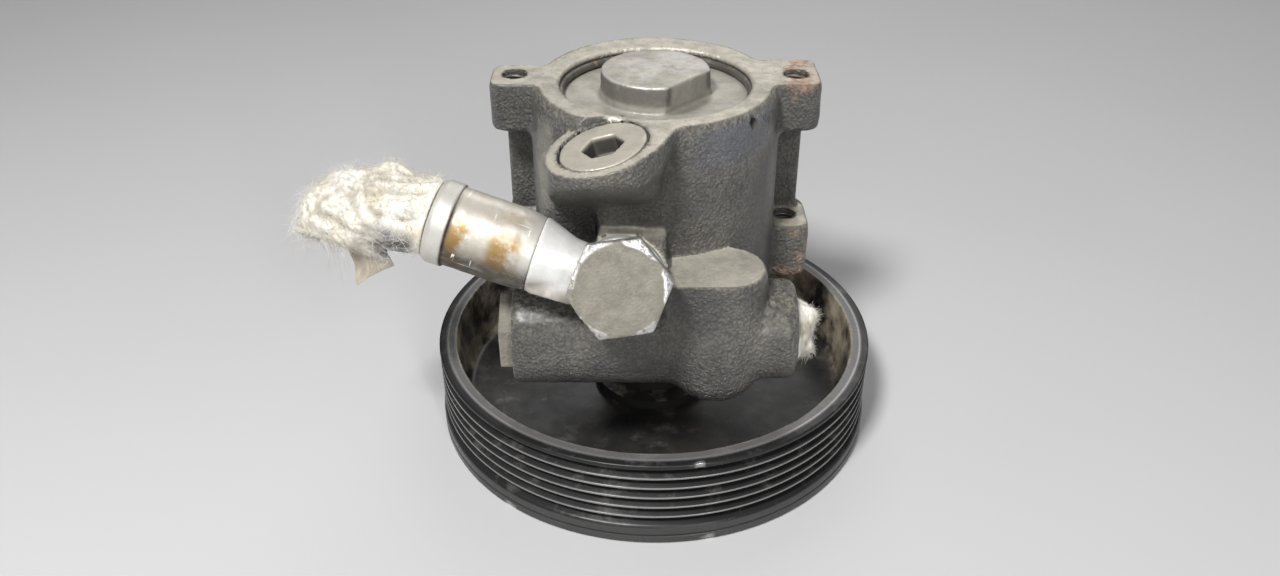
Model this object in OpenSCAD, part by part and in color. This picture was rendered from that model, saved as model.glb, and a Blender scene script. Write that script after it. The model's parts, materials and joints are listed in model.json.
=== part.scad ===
// Power steering pump: a vane pump in a cast housing, with its belt pulley below,
// a banjo pressure outlet in front and rags stuffed into the two open ports.
// Millimetres, +Z up along the shaft. The pulley's lower lip stands on z = 0.

/* [Pulley] */
// Outer radius of the pulley's lower lip
pulley_r = 70; // [64:0.5:78]
// How much smaller the belt crests are than the lower lip
lip_step = 0.6; // [0.2:0.1:1.5]
// Number of belt grooves
groove_count = 6; // [4:1:7]
// Distance from groove to groove
groove_pitch = 3.56; // [3.2:0.02:3.9]
// Depth of a belt groove
groove_depth = 2.6; // [2:0.1:3]
// Height of the plain band under the grooves
low_band = 6.2; // [4.5:0.1:8]
// Height of the lip above the grooves
top_band = 1.2; // [1:0.1:3]
// Rim thickness behind the grooves
rim_back = 3; // [2:0.1:4]
// Thickness of the pulley's web
web_t = 3.5; // [2:0.1:4.2]
// Height of the web's upper face
web_top_z = 8; // [6:0.1:9]

/* [Hub and shaft] */
// Outer radius of the hub
hub_r = 13; // [11:0.1:15]
// Radius of the hub's welded flange
hub_flange_r = 19; // [16:0.1:24]
// Thickness of the hub's flange
hub_flange_t = 3; // [2:0.1:5]
// Rise of the hub above the web
hub_rise = 16; // [12:0.5:20]
// Radius of the shaft
shaft_r = 7.5; // [6.5:0.1:8.2]
// Radius of the splined shaft end
spline_r = 6; // [5:0.1:6.4]
// Number of spline teeth
spline_teeth = 12; // [8:1:16]

/* [Bearing and seal] */
// Outer radius of the ball bearing
bearing_r = 14; // [13:0.1:15.5]
// Width of the ball bearing
bearing_w = 7; // [6:0.1:9]
// Radius of a bearing ball
ball_r = 1.75; // [1.4:0.05:2]
// Number of bearing balls
ball_count = 11; // [8:1:13]
// Thickness of the snap ring under the bearing
snap_t = 1.2; // [1:0.1:1.6]
// Outer radius of the shaft seal
seal_r = 12.2; // [11.4:0.1:12.8]
// Height of the shaft seal
seal_h = 6.5; // [5:0.1:7.5]
// Wall of the shaft bushing
bushing_wall = 2; // [1.5:0.1:3]
// Length of the shaft bushing
bushing_len = 12; // [8:0.5:14]

/* [Housing] */
// Gap between the pulley hub and the housing neck
neck_gap = 2; // [1:0.1:4]
// Length of the housing neck
neck_len = 21; // [19:0.5:26]
// Wall of the neck round the bearing
neck_wall = 5; // [4:0.1:7]
// Thickness of the housing floor under the pump chamber
floor_t = 15; // [14.5:0.5:20]
// Radius of the pump chamber
chamber_r = 27.5; // [26.5:0.1:29]
// Wall of the barrel round the chamber
barrel_wall = 8.5; // [7:0.1:11]
// Depth of the cover's face below the housing's top face
cover_drop = 4.2; // [3.5:0.1:6]
// Radius of the rounded shoulder at the top of the barrel
shoulder_r = 4; // [2:0.1:5]

/* [Ears] */
// Distance of the ear holes from the shaft axis, along X
ear_hole_x = 40.7; // [39:0.1:44]
// Place of the ear holes along Y
ear_hole_y = 4.75; // [3:0.05:6]
// Radius of the upper ear holes
ear_hole_r = 3.5; // [2.5:0.1:4]
// Radius of the lower ear holes
low_hole_r = 3.25; // [2.5:0.05:4]
// Metal outside an ear hole's centre
ear_reach = 7; // [6:0.1:9]
// Thickness of the upper ears
ear_t = 14.5; // [10:0.5:18]
// Thickness of the lower ears
low_ear_t = 18; // [12:0.5:20]
// Height of the lower ears' upper face above the barrel's foot
low_ear_rise = 20; // [18.5:0.5:24]
// Thickness of the struts between the ears
strut_t = 7.5; // [5:0.1:9]

/* [Vane pump] */
// Thickness of the thrust plate
thrust_t = 7; // [5:0.1:9]
// Height of the cam ring
cam_h = 18; // [14:0.1:22]
// Smallest radius of the cam ring's track
cam_minor_r = 18.6; // [17.8:0.1:19.6]
// Rise of the cam ring's track
cam_lift = 2; // [1:0.1:2.5]
// Gap between the rotor and the track's smallest radius
rotor_gap = 1.6; // [1.2:0.1:2]
// Radial length of a vane
vane_len = 6.5; // [5:0.1:7]
// Thickness of a vane
vane_t = 1.8; // [1.4:0.1:2.2]
// Thickness of the pressure plate
plate_t = 9; // [7:0.1:12]
// Room for the spring between pressure plate and end cover
spring_gap = 6; // [5:0.1:9]
// Thickness of the end cover's rim
cover_t = 6.5; // [5.5:0.1:9]
// Radius of the end cover's boss
cover_boss_r = 15.5; // [12:0.1:18]
// Rise of the end cover's boss above its face
cover_boss_h = 7.9; // [5:0.1:10]
// Radius of the retaining ring's wire
wire_r = 1.2; // [0.9:0.05:1.4]
// Radius of the dowel pins
dowel_r = 1.5; // [1:0.1:1.8]

/* [Valve boss] */
// Distance of the valve bore in front of the chamber's wall
valve_front = 10.5; // [9.5:0.1:12.5]
// Height of the valve bore above the barrel's foot
valve_rise = 6; // [4:0.1:7]
// Radius of the valve boss
valve_boss_r = 15.5; // [14:0.1:16]
// Half length of the valve boss
valve_half = 39.5; // [38:0.1:43]
// Radius of the valve bore
valve_r = 8; // [7:0.1:8.6]
// Wall left between the valve bore and the suction port
valve_stop_x = 4; // [2:0.1:6]
// Length of the valve spool
spool_len = 24; // [20:0.5:27]
// Radius of the suction port
suction_r = 9.5; // [8:0.1:10.5]
// Depth of the suction port
suction_deep = 28; // [20:0.5:30]
// Width across the flats of the valve plug's head
valve_plug_af = 21; // [19:0.5:23]

/* [Side boss] */
// Radius of the flat-topped boss
side_boss_r = 11.6; // [10:0.1:13]
// Place of the flat-topped boss along X
side_boss_x = 18.8; // [15:0.1:20]
// Distance of the flat-topped boss in front of the chamber's wall
side_front = 14; // [12.5:0.1:15.5]
// Height of its machined top above the valve bore
side_boss_rise = 22.5; // [19:0.1:25]
// Radius of the lower lobe
lobe_r = 12.7; // [12:0.1:14]

/* [Outlet] */
// Place of the outlet bolt along X
bolt_x = -9.5; // [-10.5:0.1:-8.5]
// Distance of the outlet seat in front of the chamber's wall
seat_front = 16.3; // [15.5:0.1:17.5]
// Depth of the outlet seat's centre below the housing's top
seat_drop = 39.8; // [38:0.1:41]
// Upward tilt of the outlet bolt
bolt_tilt = 26; // [22:0.5:29]
// Width across the flats of the banjo bolt's head
bolt_af = 24; // [22:0.5:25]
// Height of the banjo bolt's head
bolt_head_h = 9; // [7:0.1:12]
// Radius of the banjo bolt's shank
bolt_r = 7; // [6:0.1:7.5]
// Depth of the outlet port
port_deep = 9; // [7:0.1:9.5]
// Thickness of a sealing washer
washer_t = 1.5; // [1:0.1:2]
// Radius of the banjo eye
eye_r = 12.3; // [11.5:0.1:12.5]
// Thickness of the banjo eye
eye_t = 12; // [12:0.1:14]
// Upward slant of the hose end in the plane of the eye
hose_slant = 19; // [16:0.5:22]
// Radius of the neck next to the eye
hose_neck_r = 7.3; // [6:0.1:7.4]
// Radius of the crimped sleeve
sleeve_r = 10.7; // [10.2:0.1:11.2]
// Length of the crimped sleeve, collar included
sleeve_len = 28; // [22:0.5:32]
// Width of the collar at the sleeve's end
collar_w = 5.4; // [4:0.1:7]

/* [Gallery plug] */
// Place of the gallery plug along X
plug_x = -14; // [-15:0.1:-13]
// Distance of the gallery plug in front of the chamber's wall
plug_front = 11.5; // [11:0.1:12.5]
// Depth of the plug's face below the housing's top
plug_drop = 2.4; // [2:0.1:4]
// Sideways tilt of the plug
plug_tilt = 14; // [11:0.5:16]
// Radius of the plug's head
plug_r = 11.6; // [10:0.1:11.8]
// Radius of the boss round the plug
plug_boss_r = 16.2; // [15:0.1:17]

/* [Rags] */
// Radius of the wad in the hose end
wad_r = 11.2; // [9:0.1:12.5]
// How far the wad stands out of the sleeve
wad_reach = 33; // [26:0.5:36]
// How far the wad's far end hangs below the hose's line
wad_sag = 6; // [3:0.1:9]
// How far the wad's loose corner reaches below the hose's line
corner_drop = 23.5; // [18:0.1:26]
// How far the suction rag stands out of its port
tuft_reach = 5.5; // [3:0.1:8]

/* [Hidden] */
$fn = 64;
EDGE = 1;
FIT = 0.02;
RUN = 0.05;
OVER = 1;

// Heights, stacked up from the floor
pulley_h = low_band + groove_count * groove_pitch + top_band;
hub_top_z = web_top_z + hub_rise;
neck_z = hub_top_z + neck_gap;
barrel_z = neck_z + neck_len;
chamber_z = barrel_z + floor_t;
cam_z = chamber_z + thrust_t;
plate_z = cam_z + cam_h;
plate_top_z = plate_z + plate_t;
cover_z = plate_top_z + spring_gap;
cover_face_z = cover_z + cover_t;
wire_z = cover_face_z + wire_r;
top_z = cover_face_z + cover_drop;

// Bearing, seal and bushing seats
snap_z = neck_z + EDGE;
bearing_z = snap_z + snap_t;
seal_seat_z = bearing_z + bearing_w;
seal_gap = 1.5;
seal_z = seal_seat_z + seal_gap;
bushing_z = chamber_z - bushing_len - EDGE / 2;
bushing_r = shaft_r + bushing_wall;
ball_pitch_r = (shaft_r + bearing_r) / 2;
race_gap = 0.9;
ball_play = 0.12;
snap_in_r = bearing_r - 2.5;

// Pulley radii
crest_r = pulley_r - lip_step;
rim_in_r = crest_r - groove_depth - rim_back;
rim_draft = 1.6;
dish_r = rim_in_r - rim_draft;
dish_fillet = 2.5;
groove_flat = 0.5;
lip_edge = 0.6;
hub_foot_z = web_top_z - web_t - 3;
shaft_foot_z = hub_foot_z + EDGE;

// Vane pump
barrel_r = chamber_r + barrel_wall;
neck_r = bearing_r + neck_wall;
rotor_r = cam_minor_r - rotor_gap;
vane_count = 10;
vane_rest = 0.9;
vane_tip_r = rotor_r + vane_rest;
slot_play = 0.05;
slot_spare = 1.5;
slot_foot_r = vane_tip_r - vane_len - slot_spare;
end_play = 0.05;
cam_points = 120;
dowel_seat_r = (chamber_r + cam_minor_r + cam_lift) / 2;
spline_h = 1;
plate_hole_r = spline_r + spline_h + 2;
rotor_ring_t = 1.2;
rotor_ring_r = spline_r + spline_h + 0.8;
shaft_top_z = plate_z + 2 * rotor_ring_t + EDGE;

// Wire ring and sealing rings
wire_seat = 1.2;
wire_ring_r = chamber_r + wire_seat - wire_r - 0.1;
cord_r = 1.2;
cord_squeeze = 0.3;
spring_wall = 4;
spring_seat_r = cover_boss_r - spring_wall;

// Valve boss
valve_y = -chamber_r - valve_front;
valve_z = barrel_z + valve_rise;
plug_thread_r = valve_r + 1.2;
plug_thread_len = 9;
valve_head_t = 4;
spool_right_x = valve_stop_x - 0.2;
spool_left_x = spool_right_x - spool_len;
spool_wall = 2.4;
spring_pocket_r = valve_r - spool_wall;
spring_pocket = 6;
coil_clear = 1.1;
valve_coil_r = spring_pocket_r - coil_clear;
relief_r = 2.2;
relief_bore_r = relief_r + 0.4;
relief_seat_len = 4;
relief_hole_r = 1.2;
relief_deep = 13;
relief_ball_x = spool_right_x - relief_seat_len - relief_r - 2 * RUN;
valve_wire = 0.8;
relief_wire = 0.4;
plate_wire = 0.9;

// Side boss
side_y = -chamber_r - side_front;
side_top_z = valve_z + side_boss_rise;
lobe_shift = [-2.1, -2.2];
lobe_foot = 0.6;
lobe_soft = 7;
stub_step = 1.3;

// Outlet seat and the pieces stacked on it
seat_y = -chamber_r - seat_front;
seat_z = top_z - seat_drop;
eye_mid = washer_t + eye_t / 2;
head_s = 2 * washer_t + eye_t;
washer_band = 3.6;
washer_r = bolt_r + washer_band;
bolt_bore_r = bolt_r / 2.2;
eye_bore_r = bolt_r + 0.6;
hose_bore_r = 3.6;
cone_s = 14.2;
fin_t = eye_t - EDGE;
fin_low = sleeve_r - 1.3;
sleeve_s = 23.5;
sleeve_wall = 2.2;
collar_r = sleeve_r + 0.6;
barb_r = 4.3;
barb_len = 15;
column_w = 19;
column_right = 12.5;
column_set = 8.3;
column_drop = 14;
ledge_rise = 1.8;

// Gallery plug
plug_y = -chamber_r - plug_front;
plug_z = top_z - plug_drop;
plug_lean = 4;
plug_wall = 22;
foot_drop = 4.5;
under_drop = 19.2;
under_slope = 37.5;
pad_at = [13.4, 12];
pad_r = 8;
pad_t = 8;
flank_r = 7.6;
flank_drop = 7;
plug_head_t = 2.6;
plug_shank_r = 8;
plug_shank_len = 5;
plug_socket_af = 10;
plug_socket_deep = 5.5;
spot_r = plug_r + 0.7;
seat_spot_r = eye_r + 1;
gallery_r = 3.2;
gallery_deep = 13.5;

// Ears
ear_front = 9;
ear_back_left = 7.5;
ear_back_right = 12;
ear_corner = 4;
low_ear_z = barrel_z + low_ear_rise;

// What is shared by the cover, its ring and the poke hole
flat_angle = -42;
groove_lift = 1.5;
cover_pocket = 3;
plate_groove = 3;

// Ports of the two plates and the pins that line them up
port_angles = [30, 210];
port_span = 40;
port_w = 3;
port_in = 1;
dowel_up = 2.5;
dowel_down = 4;

// Rags
rag_play = 0.4;
wad_tip_r = 9;
corner_r = 2.2;

// Frames of the slanted pieces

// Along the outlet bolt: origin on the seat, +Z out of the housing
module at_bolt() {
    translate([bolt_x, seat_y, seat_z]) rotate([90 - bolt_tilt, 0, 0]) children();
}

// Along the hose end: origin in the middle of the banjo eye, +Z towards the hose
module at_hose() {
    at_bolt() translate([0, 0, eye_mid]) rotate([0, 0, 180 - hose_slant]) rotate([0, 90, 0]) children();
}

// Along the gallery plug: origin on its face, +Z out of the housing
module at_plug() {
    translate([plug_x, plug_y, plug_z]) rotate([plug_lean, -plug_tilt, 0]) children();
}

// Along the valve bore: origin on the shaft's plane, +Z towards +X
module at_valve(x = 0) {
    translate([x, valve_y, valve_z]) rotate([0, 90, 0]) children();
}

// Shapes that repeat

// A straight tube from z0 to z1
module tube(r_out, r_in, z0, z1) {
    translate([0, 0, z0]) difference() {
        cylinder(r = r_out, h = z1 - z0);
        translate([0, 0, -OVER]) cylinder(r = r_in, h = z1 - z0 + 2 * OVER);
    }
}

// A rod from z0 to z1
module rod(r, z0, z1) {
    translate([0, 0, z0]) cylinder(r = r, h = z1 - z0);
}

// A round cord bent into a ring
module cord_ring(ring_r, cord, z, angle = 360) {
    translate([0, 0, z]) rotate_extrude(angle = angle) translate([ring_r, 0]) circle(r = cord, $fn = 32);
}

// A hexagon prism, sized across its flats, with a corner on +X
module hex(across, h) {
    linear_extrude(h) circle(r = across / sqrt(3), $fn = 6);
}

// A rectangle with round corners, from one corner to the other
module round_rect(low, high, r) {
    for (x = [low[0] + r, high[0] - r], y = [low[1] + r, high[1] - r])
        translate([x, y]) circle(r = r);
    translate([low[0] + r, low[1]]) square([high[0] - low[0] - 2 * r, high[1] - low[1]]);
    translate([low[0], low[1] + r]) square([high[0] - low[0], high[1] - low[1] - 2 * r]);
}

// Two discs joined by their outer tangents, the first one at the origin
module tied_discs(r1, at2, r2) {
    turn = atan2(at2[1], at2[0]);
    open = acos((r1 - r2) / norm(at2));
    sides = [turn - open, turn + open];
    circle(r = r1);
    translate(at2) circle(r = r2);
    polygon([
        r1 * [cos(sides[0]), sin(sides[0])], at2 + r2 * [cos(sides[0]), sin(sides[0])],
        at2 + r2 * [cos(sides[1]), sin(sides[1])], r1 * [cos(sides[1]), sin(sides[1])]
    ]);
}

// Points of an arc round a centre
function arc(c, r, a0, a1, n = 8) =
    [for (i = [0:n]) let (a = a0 + (a1 - a0) * i / n) [c[0] + r * cos(a), c[1] + r * sin(a)]];

// A coil spring round Z, as one swept tube
module coil(ring_r, wire, z0, z1, turns, sides = 8, per_turn = 16) {
    steps = round(turns * per_turn);
    low = z0 + wire;
    rise = (z1 - z0 - 2 * wire) / steps;
    points = [
        for (s = [0:steps], k = [0:sides - 1])
            let (a = s * 360 / per_turn, b = k * 360 / sides, r = ring_r + wire * cos(b))
            [r * cos(a), r * sin(a), low + s * rise + wire * sin(b)]
    ];
    walls = [
        for (s = [0:steps - 1], k = [0:sides - 1])
            let (here = s * sides, next = here + sides, j = (k + 1) % sides)
            [here + k, here + j, next + j, next + k]
    ];
    first_cap = [for (k = [sides - 1:-1:0]) k];
    last_cap = [for (k = [0:sides - 1]) steps * sides + k];
    polyhedron(points, concat([first_cap], walls, [last_cap]), convexity = 6);
}

// The splined section, grown by a clearance
module spline_outline(grow) {
    circle(r = spline_r + grow);
    tooth_w = spline_r * 180 / spline_teeth * PI / 180;
    for (i = [0:spline_teeth - 1])
        rotate(i * 360 / spline_teeth)
            translate([spline_r - EDGE, -tooth_w / 2 - grow])
                square([spline_h + EDGE + grow, tooth_w + 2 * grow]);
}

// Radius of the cam ring's track at an angle
function cam_track(a) = cam_minor_r + cam_lift * (1 - cos(2 * a)) / 2;

// The housing's solid metal

module barrel() {
    band_drop = 7.5;
    band_z = wire_z - band_drop;
    crease = 1.1;
    foot_bevel = 3;
    rim_r = barrel_r - EDGE / 2;
    rotate_extrude() polygon(concat(
        [[0, barrel_z], [barrel_r - foot_bevel, barrel_z], [barrel_r, barrel_z + foot_bevel]],
        [[barrel_r, band_z - 3 * crease], [barrel_r - crease, band_z - crease / 2]],
        [[barrel_r - crease, band_z + crease / 2], [rim_r, band_z + 3 * crease]],
        arc([rim_r - shoulder_r, top_z - shoulder_r], shoulder_r, 0, 90),
        [[0, top_z]]
    ));
    ring_wall = 5.5;
    ring_shift = 3.5;
    translate([0, ring_shift, top_z - ear_t / 2]) cylinder(r = chamber_r + ring_wall, h = ear_t / 2);
}

module neck() {
    flare = 9;
    rotate_extrude() polygon([
        [0, neck_z], [neck_r - EDGE, neck_z], [neck_r, neck_z + EDGE], [neck_r, barrel_z - flare],
        [neck_r + flare, barrel_z], [neck_r + flare, barrel_z + OVER], [0, barrel_z + OVER]
    ]);
}

// How far from the axis the ears and struts start, inside the barrel's wall
function ear_root() = chamber_r + 2 * EDGE;

// One ear with its hole's place, from z0 up by t
module ear(side, back, z0, t) {
    inner_x = ear_root();
    outer_x = ear_hole_x + ear_reach;
    x_low = side > 0 ? inner_x : -outer_x;
    x_high = side > 0 ? outer_x : -inner_x;
    translate([0, 0, z0]) linear_extrude(t)
        round_rect([x_low, ear_hole_y - ear_front], [x_high, ear_hole_y + back], ear_corner);
}

// A rib that ties an upper ear to the lower one, behind the bolt's path
module strut(side) {
    outer = ear_hole_x + ear_corner;
    inner = ear_root();
    y0 = ear_hole_y + ear_hole_r + EDGE;
    z0 = low_ear_z - OVER;
    x = side > 0 ? inner : -outer;
    translate([x, y0, z0]) cube([outer - inner, strut_t, top_z - ear_t + OVER - z0]);
}

module valve_boss() {
    soft = 2.5;
    stub_r = valve_boss_r - stub_step;
    at_valve() rotate_extrude() polygon(concat(
        [[0, -valve_half]],
        arc([valve_boss_r - EDGE, -valve_half + EDGE], EDGE, -90, 0, 4),
        [[valve_boss_r, side_boss_x], [stub_r, side_boss_x + side_boss_r]],
        arc([stub_r - soft, valve_half - soft], soft, 0, 90, 6),
        [[0, valve_half]]
    ));
    saddle_low_x = bolt_x - valve_boss_r;
    saddle_high_x = side_boss_x + side_boss_r / 2;
    saddle_h = valve_rise + valve_boss_r - 2 * shoulder_r;
    translate([saddle_low_x, valve_y, barrel_z])
        cube([saddle_high_x - saddle_low_x, valve_front + shoulder_r, saddle_h]);
}

module side_boss() {
    foot_z = valve_z - valve_boss_r / 2;
    soft = 1.6;
    translate([side_boss_x, side_y, 0]) rotate_extrude() polygon(concat(
        [[0, foot_z], [side_boss_r, foot_z]],
        arc([side_boss_r - soft, side_top_z - soft], soft, 0, 90, 4),
        [[0, side_top_z]]
    ));
    block_x = bolt_x + column_right - EDGE;
    translate([block_x, side_y - side_boss_r + soft / 3, foot_z])
        cube([side_boss_x - block_x, 2 * side_boss_r - soft, side_top_z - foot_z]);
    lobe_z = valve_z - valve_boss_r - lobe_foot;
    waist_z = valve_z + lobe_soft / 2;
    translate([side_boss_x + lobe_shift[0], side_y + lobe_shift[1], 0]) rotate_extrude() polygon(concat(
        [[0, lobe_z]],
        arc([lobe_r - lobe_soft, lobe_z + lobe_soft], lobe_soft, -90, 0, 8),
        [[lobe_r, waist_z], [side_boss_r - 2 * EDGE, waist_z + lobe_soft], [0, waist_z + lobe_soft]]
    ));
}

module outlet_boss() {
    pad_deep = 16;
    at_bolt() {
        rod(eye_r, -pad_deep, 0);
        translate([column_right - column_w, -eye_r, -pad_deep]) cube([column_w, 2 * eye_r, pad_deep]);
    }
    column_z = seat_z - eye_r;
    column_y = seat_y + column_set;
    translate([bolt_x + column_right - column_w, column_y, column_z])
        cube([column_w, seat_front - column_set + shoulder_r, plug_z - column_drop - column_z]);
    lip_y = seat_y + eye_r * sin(bolt_tilt) + EDGE / 2;
    lip_z = seat_z + eye_r * cos(bolt_tilt) - EDGE / 2;
    lip_w = column_w - EDGE;
    translate([bolt_x + column_right - lip_w - EDGE / 2, 0, 0]) rotate([90, 0, 90]) linear_extrude(lip_w) polygon([
        [lip_y, lip_z], [column_y, lip_z + ledge_rise], [column_y + EDGE, lip_z + ledge_rise],
        [column_y + EDGE, lip_z - 2 * ledge_rise]
    ]);
}

module plug_boss() {
    reach = 2 * plug_boss_r;
    difference() {
        union() {
            at_plug() translate([0, 0, -pad_t]) linear_extrude(pad_t) tied_discs(plug_boss_r, pad_at, pad_r);
            translate([plug_x, plug_y, 0]) rod(plug_boss_r - EDGE, plug_z - plug_wall, plug_z - foot_drop);
        }
        translate([plug_x, seat_y + column_set, plug_z - under_drop]) rotate([-under_slope, 0, 0])
            translate([-reach, -2 * reach, -reach]) cube([2 * reach, 2.2 * reach, reach]);
    }
    translate([plug_x - plug_boss_r + flank_r - 1.5 * EDGE, -chamber_r + EDGE, 0])
        rod(flank_r, valve_z, plug_z - flank_drop);
}

module housing_metal() {
    barrel();
    neck();
    ear(-1, ear_back_left, top_z - ear_t, ear_t);
    ear(1, ear_back_right, top_z - ear_t, ear_t);
    ear(-1, ear_back_left, low_ear_z - low_ear_t, low_ear_t);
    ear(1, ear_back_right, low_ear_z - low_ear_t, low_ear_t);
    strut(-1);
    strut(1);
    valve_boss();
    side_boss();
    outlet_boss();
    plug_boss();
}

// What is bored and cut away

module shaft_bores() {
    rod(bearing_r + FIT, neck_z - OVER, seal_seat_z);
    rod(bearing_r + EDGE, snap_z - FIT, snap_z + snap_t + FIT);
    rod(seal_r + FIT, seal_seat_z - OVER, seal_z + seal_h);
    rod(shaft_r + EDGE, seal_z, chamber_z + OVER);
    rod(bushing_r + FIT, bushing_z, chamber_z + OVER);
    rod(chamber_r, chamber_z, top_z + OVER);
    rod(chamber_r + wire_seat, wire_z - wire_r - FIT, wire_z + wire_r + FIT);
    translate([0, 0, top_z - EDGE]) cylinder(r1 = chamber_r, r2 = chamber_r + 2 * EDGE, h = 2 * EDGE);
}

module ear_holes() {
    for (x = [-ear_hole_x, ear_hole_x]) translate([x, ear_hole_y, 0]) {
        rod(ear_hole_r, top_z - ear_t - OVER, top_z + OVER);
        rod(low_hole_r, low_ear_z - low_ear_t - OVER, low_ear_z + OVER);
    }
}

module valve_bores() {
    at_valve(-valve_half - OVER) cylinder(r = plug_thread_r + FIT, h = plug_thread_len + EDGE + OVER);
    at_valve(-valve_half) cylinder(r = valve_r, h = valve_half + valve_stop_x);
    at_valve(valve_half - suction_deep) cylinder(r = suction_r, h = suction_deep + OVER);
}

module passages() {
    at_bolt() rod(bolt_r + FIT, -port_deep, OVER);
    at_bolt() rod(seat_spot_r, 0, 3 * eye_t);
    outlet_link_r = 3;
    translate([bolt_x, seat_y + port_deep * cos(bolt_tilt) - outlet_link_r, 0])
        rod(outlet_link_r, valve_z, seat_z - port_deep * sin(bolt_tilt));
    at_plug() rod(plug_shank_r + FIT, -plug_head_t - plug_shank_len - EDGE, OVER);
    at_plug() rod(spot_r, -plug_head_t, 3 * ear_t);
    at_plug() rod(gallery_r, -gallery_deep, 0);
    feed_r = 2.2;
    feed_z = plate_top_z + spring_gap / 2;
    translate([plug_x, plug_y, feed_z]) rotate([-90, 0, 0])
        cylinder(r = feed_r, h = plug_front + chamber_r / 2);
    suction_link_r = 4;
    translate([side_boss_x - suction_link_r / 2, valve_y, valve_z]) rotate([-45, 0, 0])
        cylinder(r = suction_link_r, h = 2 * valve_front + suction_link_r);
    poke_r = 1.25;
    rotate([0, 0, flat_angle]) translate([chamber_r - OVER, 0, wire_z]) rotate([0, 90, 0])
        cylinder(r = poke_r, h = barrel_wall + 3 * OVER);
}

module housing() {
    color("#4b4845") difference() {
        housing_metal();
        shaft_bores();
        ear_holes();
        valve_bores();
        passages();
        translate([-2 * chamber_r, 2 * plug_y, top_z]) cube([4 * chamber_r, -2 * plug_y, 2 * ear_t]);
    }
}

// Plug that closes the drilled gallery
module gallery_plug() {
    color("#8b8475") at_plug() difference() {
        union() {
            rod(plug_shank_r, -plug_head_t - plug_shank_len, -plug_head_t);
            rod(plug_r, -plug_head_t, -FIT);
        }
        translate([0, 0, -plug_socket_deep]) hex(plug_socket_af, plug_socket_deep + OVER);
    }
}

// Round cover over the pump chamber, with a boss that has one flat
module end_cover() {
    skirt_r = chamber_r - RUN;
    seat_groove = cord_r * 2 - cord_squeeze;
    flat_from_axis = cover_boss_r * 0.8;
    color("#9a9389") difference() {
        union() {
            rod(skirt_r, cover_z, cover_face_z);
            difference() {
                translate([0, 0, cover_face_z])
                    cylinder(r1 = cover_boss_r + 0.4, r2 = cover_boss_r, h = cover_boss_h);
                rotate([0, 0, flat_angle]) translate([flat_from_axis, -2 * cover_boss_r, cover_face_z])
                    cube([cover_boss_r, 4 * cover_boss_r, cover_boss_h + OVER]);
            }
        }
        groove_z = cover_z + groove_lift;
        tube(skirt_r + OVER, skirt_r - seat_groove, groove_z, groove_z + 2 * cord_r);
        rod(spring_seat_r, cover_z - OVER, cover_z + cover_pocket);
    }
}

// Sealing ring round the end cover
module end_cover_seal() {
    cord = cord_r - cord_squeeze / 2;
    color("#222222") cord_ring(chamber_r - cord - RUN, cord - FIT, cover_z + groove_lift + cord_r);
}

// Open wire ring that holds the end cover in
module retaining_ring() {
    gap_angle = 16;
    color("#6d675f") rotate([0, 0, flat_angle + gap_angle])
        cord_ring(wire_ring_r, wire_r - FIT, wire_z, 360 - gap_angle);
}

// Coil spring that presses the pressure plate down
module pressure_plate_spring() {
    turns = 2.5;
    color("#77757a")
        coil(spring_seat_r - 1.5, plate_wire, plate_top_z + FIT, cover_z + cover_pocket - FIT, turns);
}

// Kidney-shaped ports in a plate, from z0 to z1
module ports(z0, z1) {
    for (a = port_angles) translate([0, 0, z0]) rotate([0, 0, a]) rotate_extrude(angle = port_span)
        translate([rotor_r - port_in - port_w / 2, 0]) square([port_w, z1 - z0]);
}

module dowel_holes(grow, z0, z1) {
    for (a = [0, 180]) rotate([0, 0, a]) translate([dowel_seat_r, 0, 0]) rod(dowel_r + grow, z0, z1);
}

// Plate over the rotor, with its delivery ports
module pressure_plate() {
    cord = cord_r * 2 - cord_squeeze;
    color("#82807c") difference() {
        rod(chamber_r - RUN, plate_z, plate_top_z);
        rod(plate_hole_r, plate_z - OVER, plate_top_z + OVER);
        ports(plate_z - OVER, plate_top_z + OVER);
        groove_z = plate_z + plate_groove;
        tube(chamber_r + OVER, chamber_r - RUN - cord, groove_z, groove_z + 2 * cord_r);
        dowel_holes(FIT, plate_z - OVER, plate_z + dowel_up);
    }
}

// Sealing ring round the pressure plate
module pressure_plate_seal() {
    cord = cord_r - cord_squeeze / 2;
    color("#222222") cord_ring(chamber_r - cord - RUN, cord - FIT, plate_z + plate_groove + cord_r);
}

// Ring with the oval track that the vanes sweep
module cam_ring() {
    track = [for (i = [0:cam_points - 1]) let (a = i * 360 / cam_points) cam_track(a) * [cos(a), sin(a)]];
    color("#8d8b88") difference() {
        rod(chamber_r - RUN, cam_z, plate_z);
        translate([0, 0, cam_z - OVER]) linear_extrude(cam_h + 2 * OVER) polygon(track);
        dowel_holes(FIT, cam_z - OVER, plate_z + OVER);
    }
}

// Slotted rotor on the shaft's spline
module rotor() {
    slot_w = vane_t + 2 * slot_play;
    color("#7c7a78") difference() {
        rod(rotor_r, cam_z + end_play, plate_z - end_play);
        translate([0, 0, cam_z - OVER]) linear_extrude(cam_h + 2 * OVER) spline_outline(FIT);
        for (i = [0:vane_count - 1]) rotate([0, 0, i * 360 / vane_count])
            translate([slot_foot_r, -slot_w / 2, cam_z - OVER]) cube([rotor_r, slot_w, cam_h + 2 * OVER]);
    }
}

// One sliding vane, counted from +X
module vane(i) {
    color("#a5a3a0") rotate([0, 0, (i - 1) * 360 / vane_count])
        translate([vane_tip_r - vane_len, -vane_t / 2, cam_z + 2 * end_play])
            cube([vane_len, vane_t, cam_h - 4 * end_play]);
}

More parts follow.
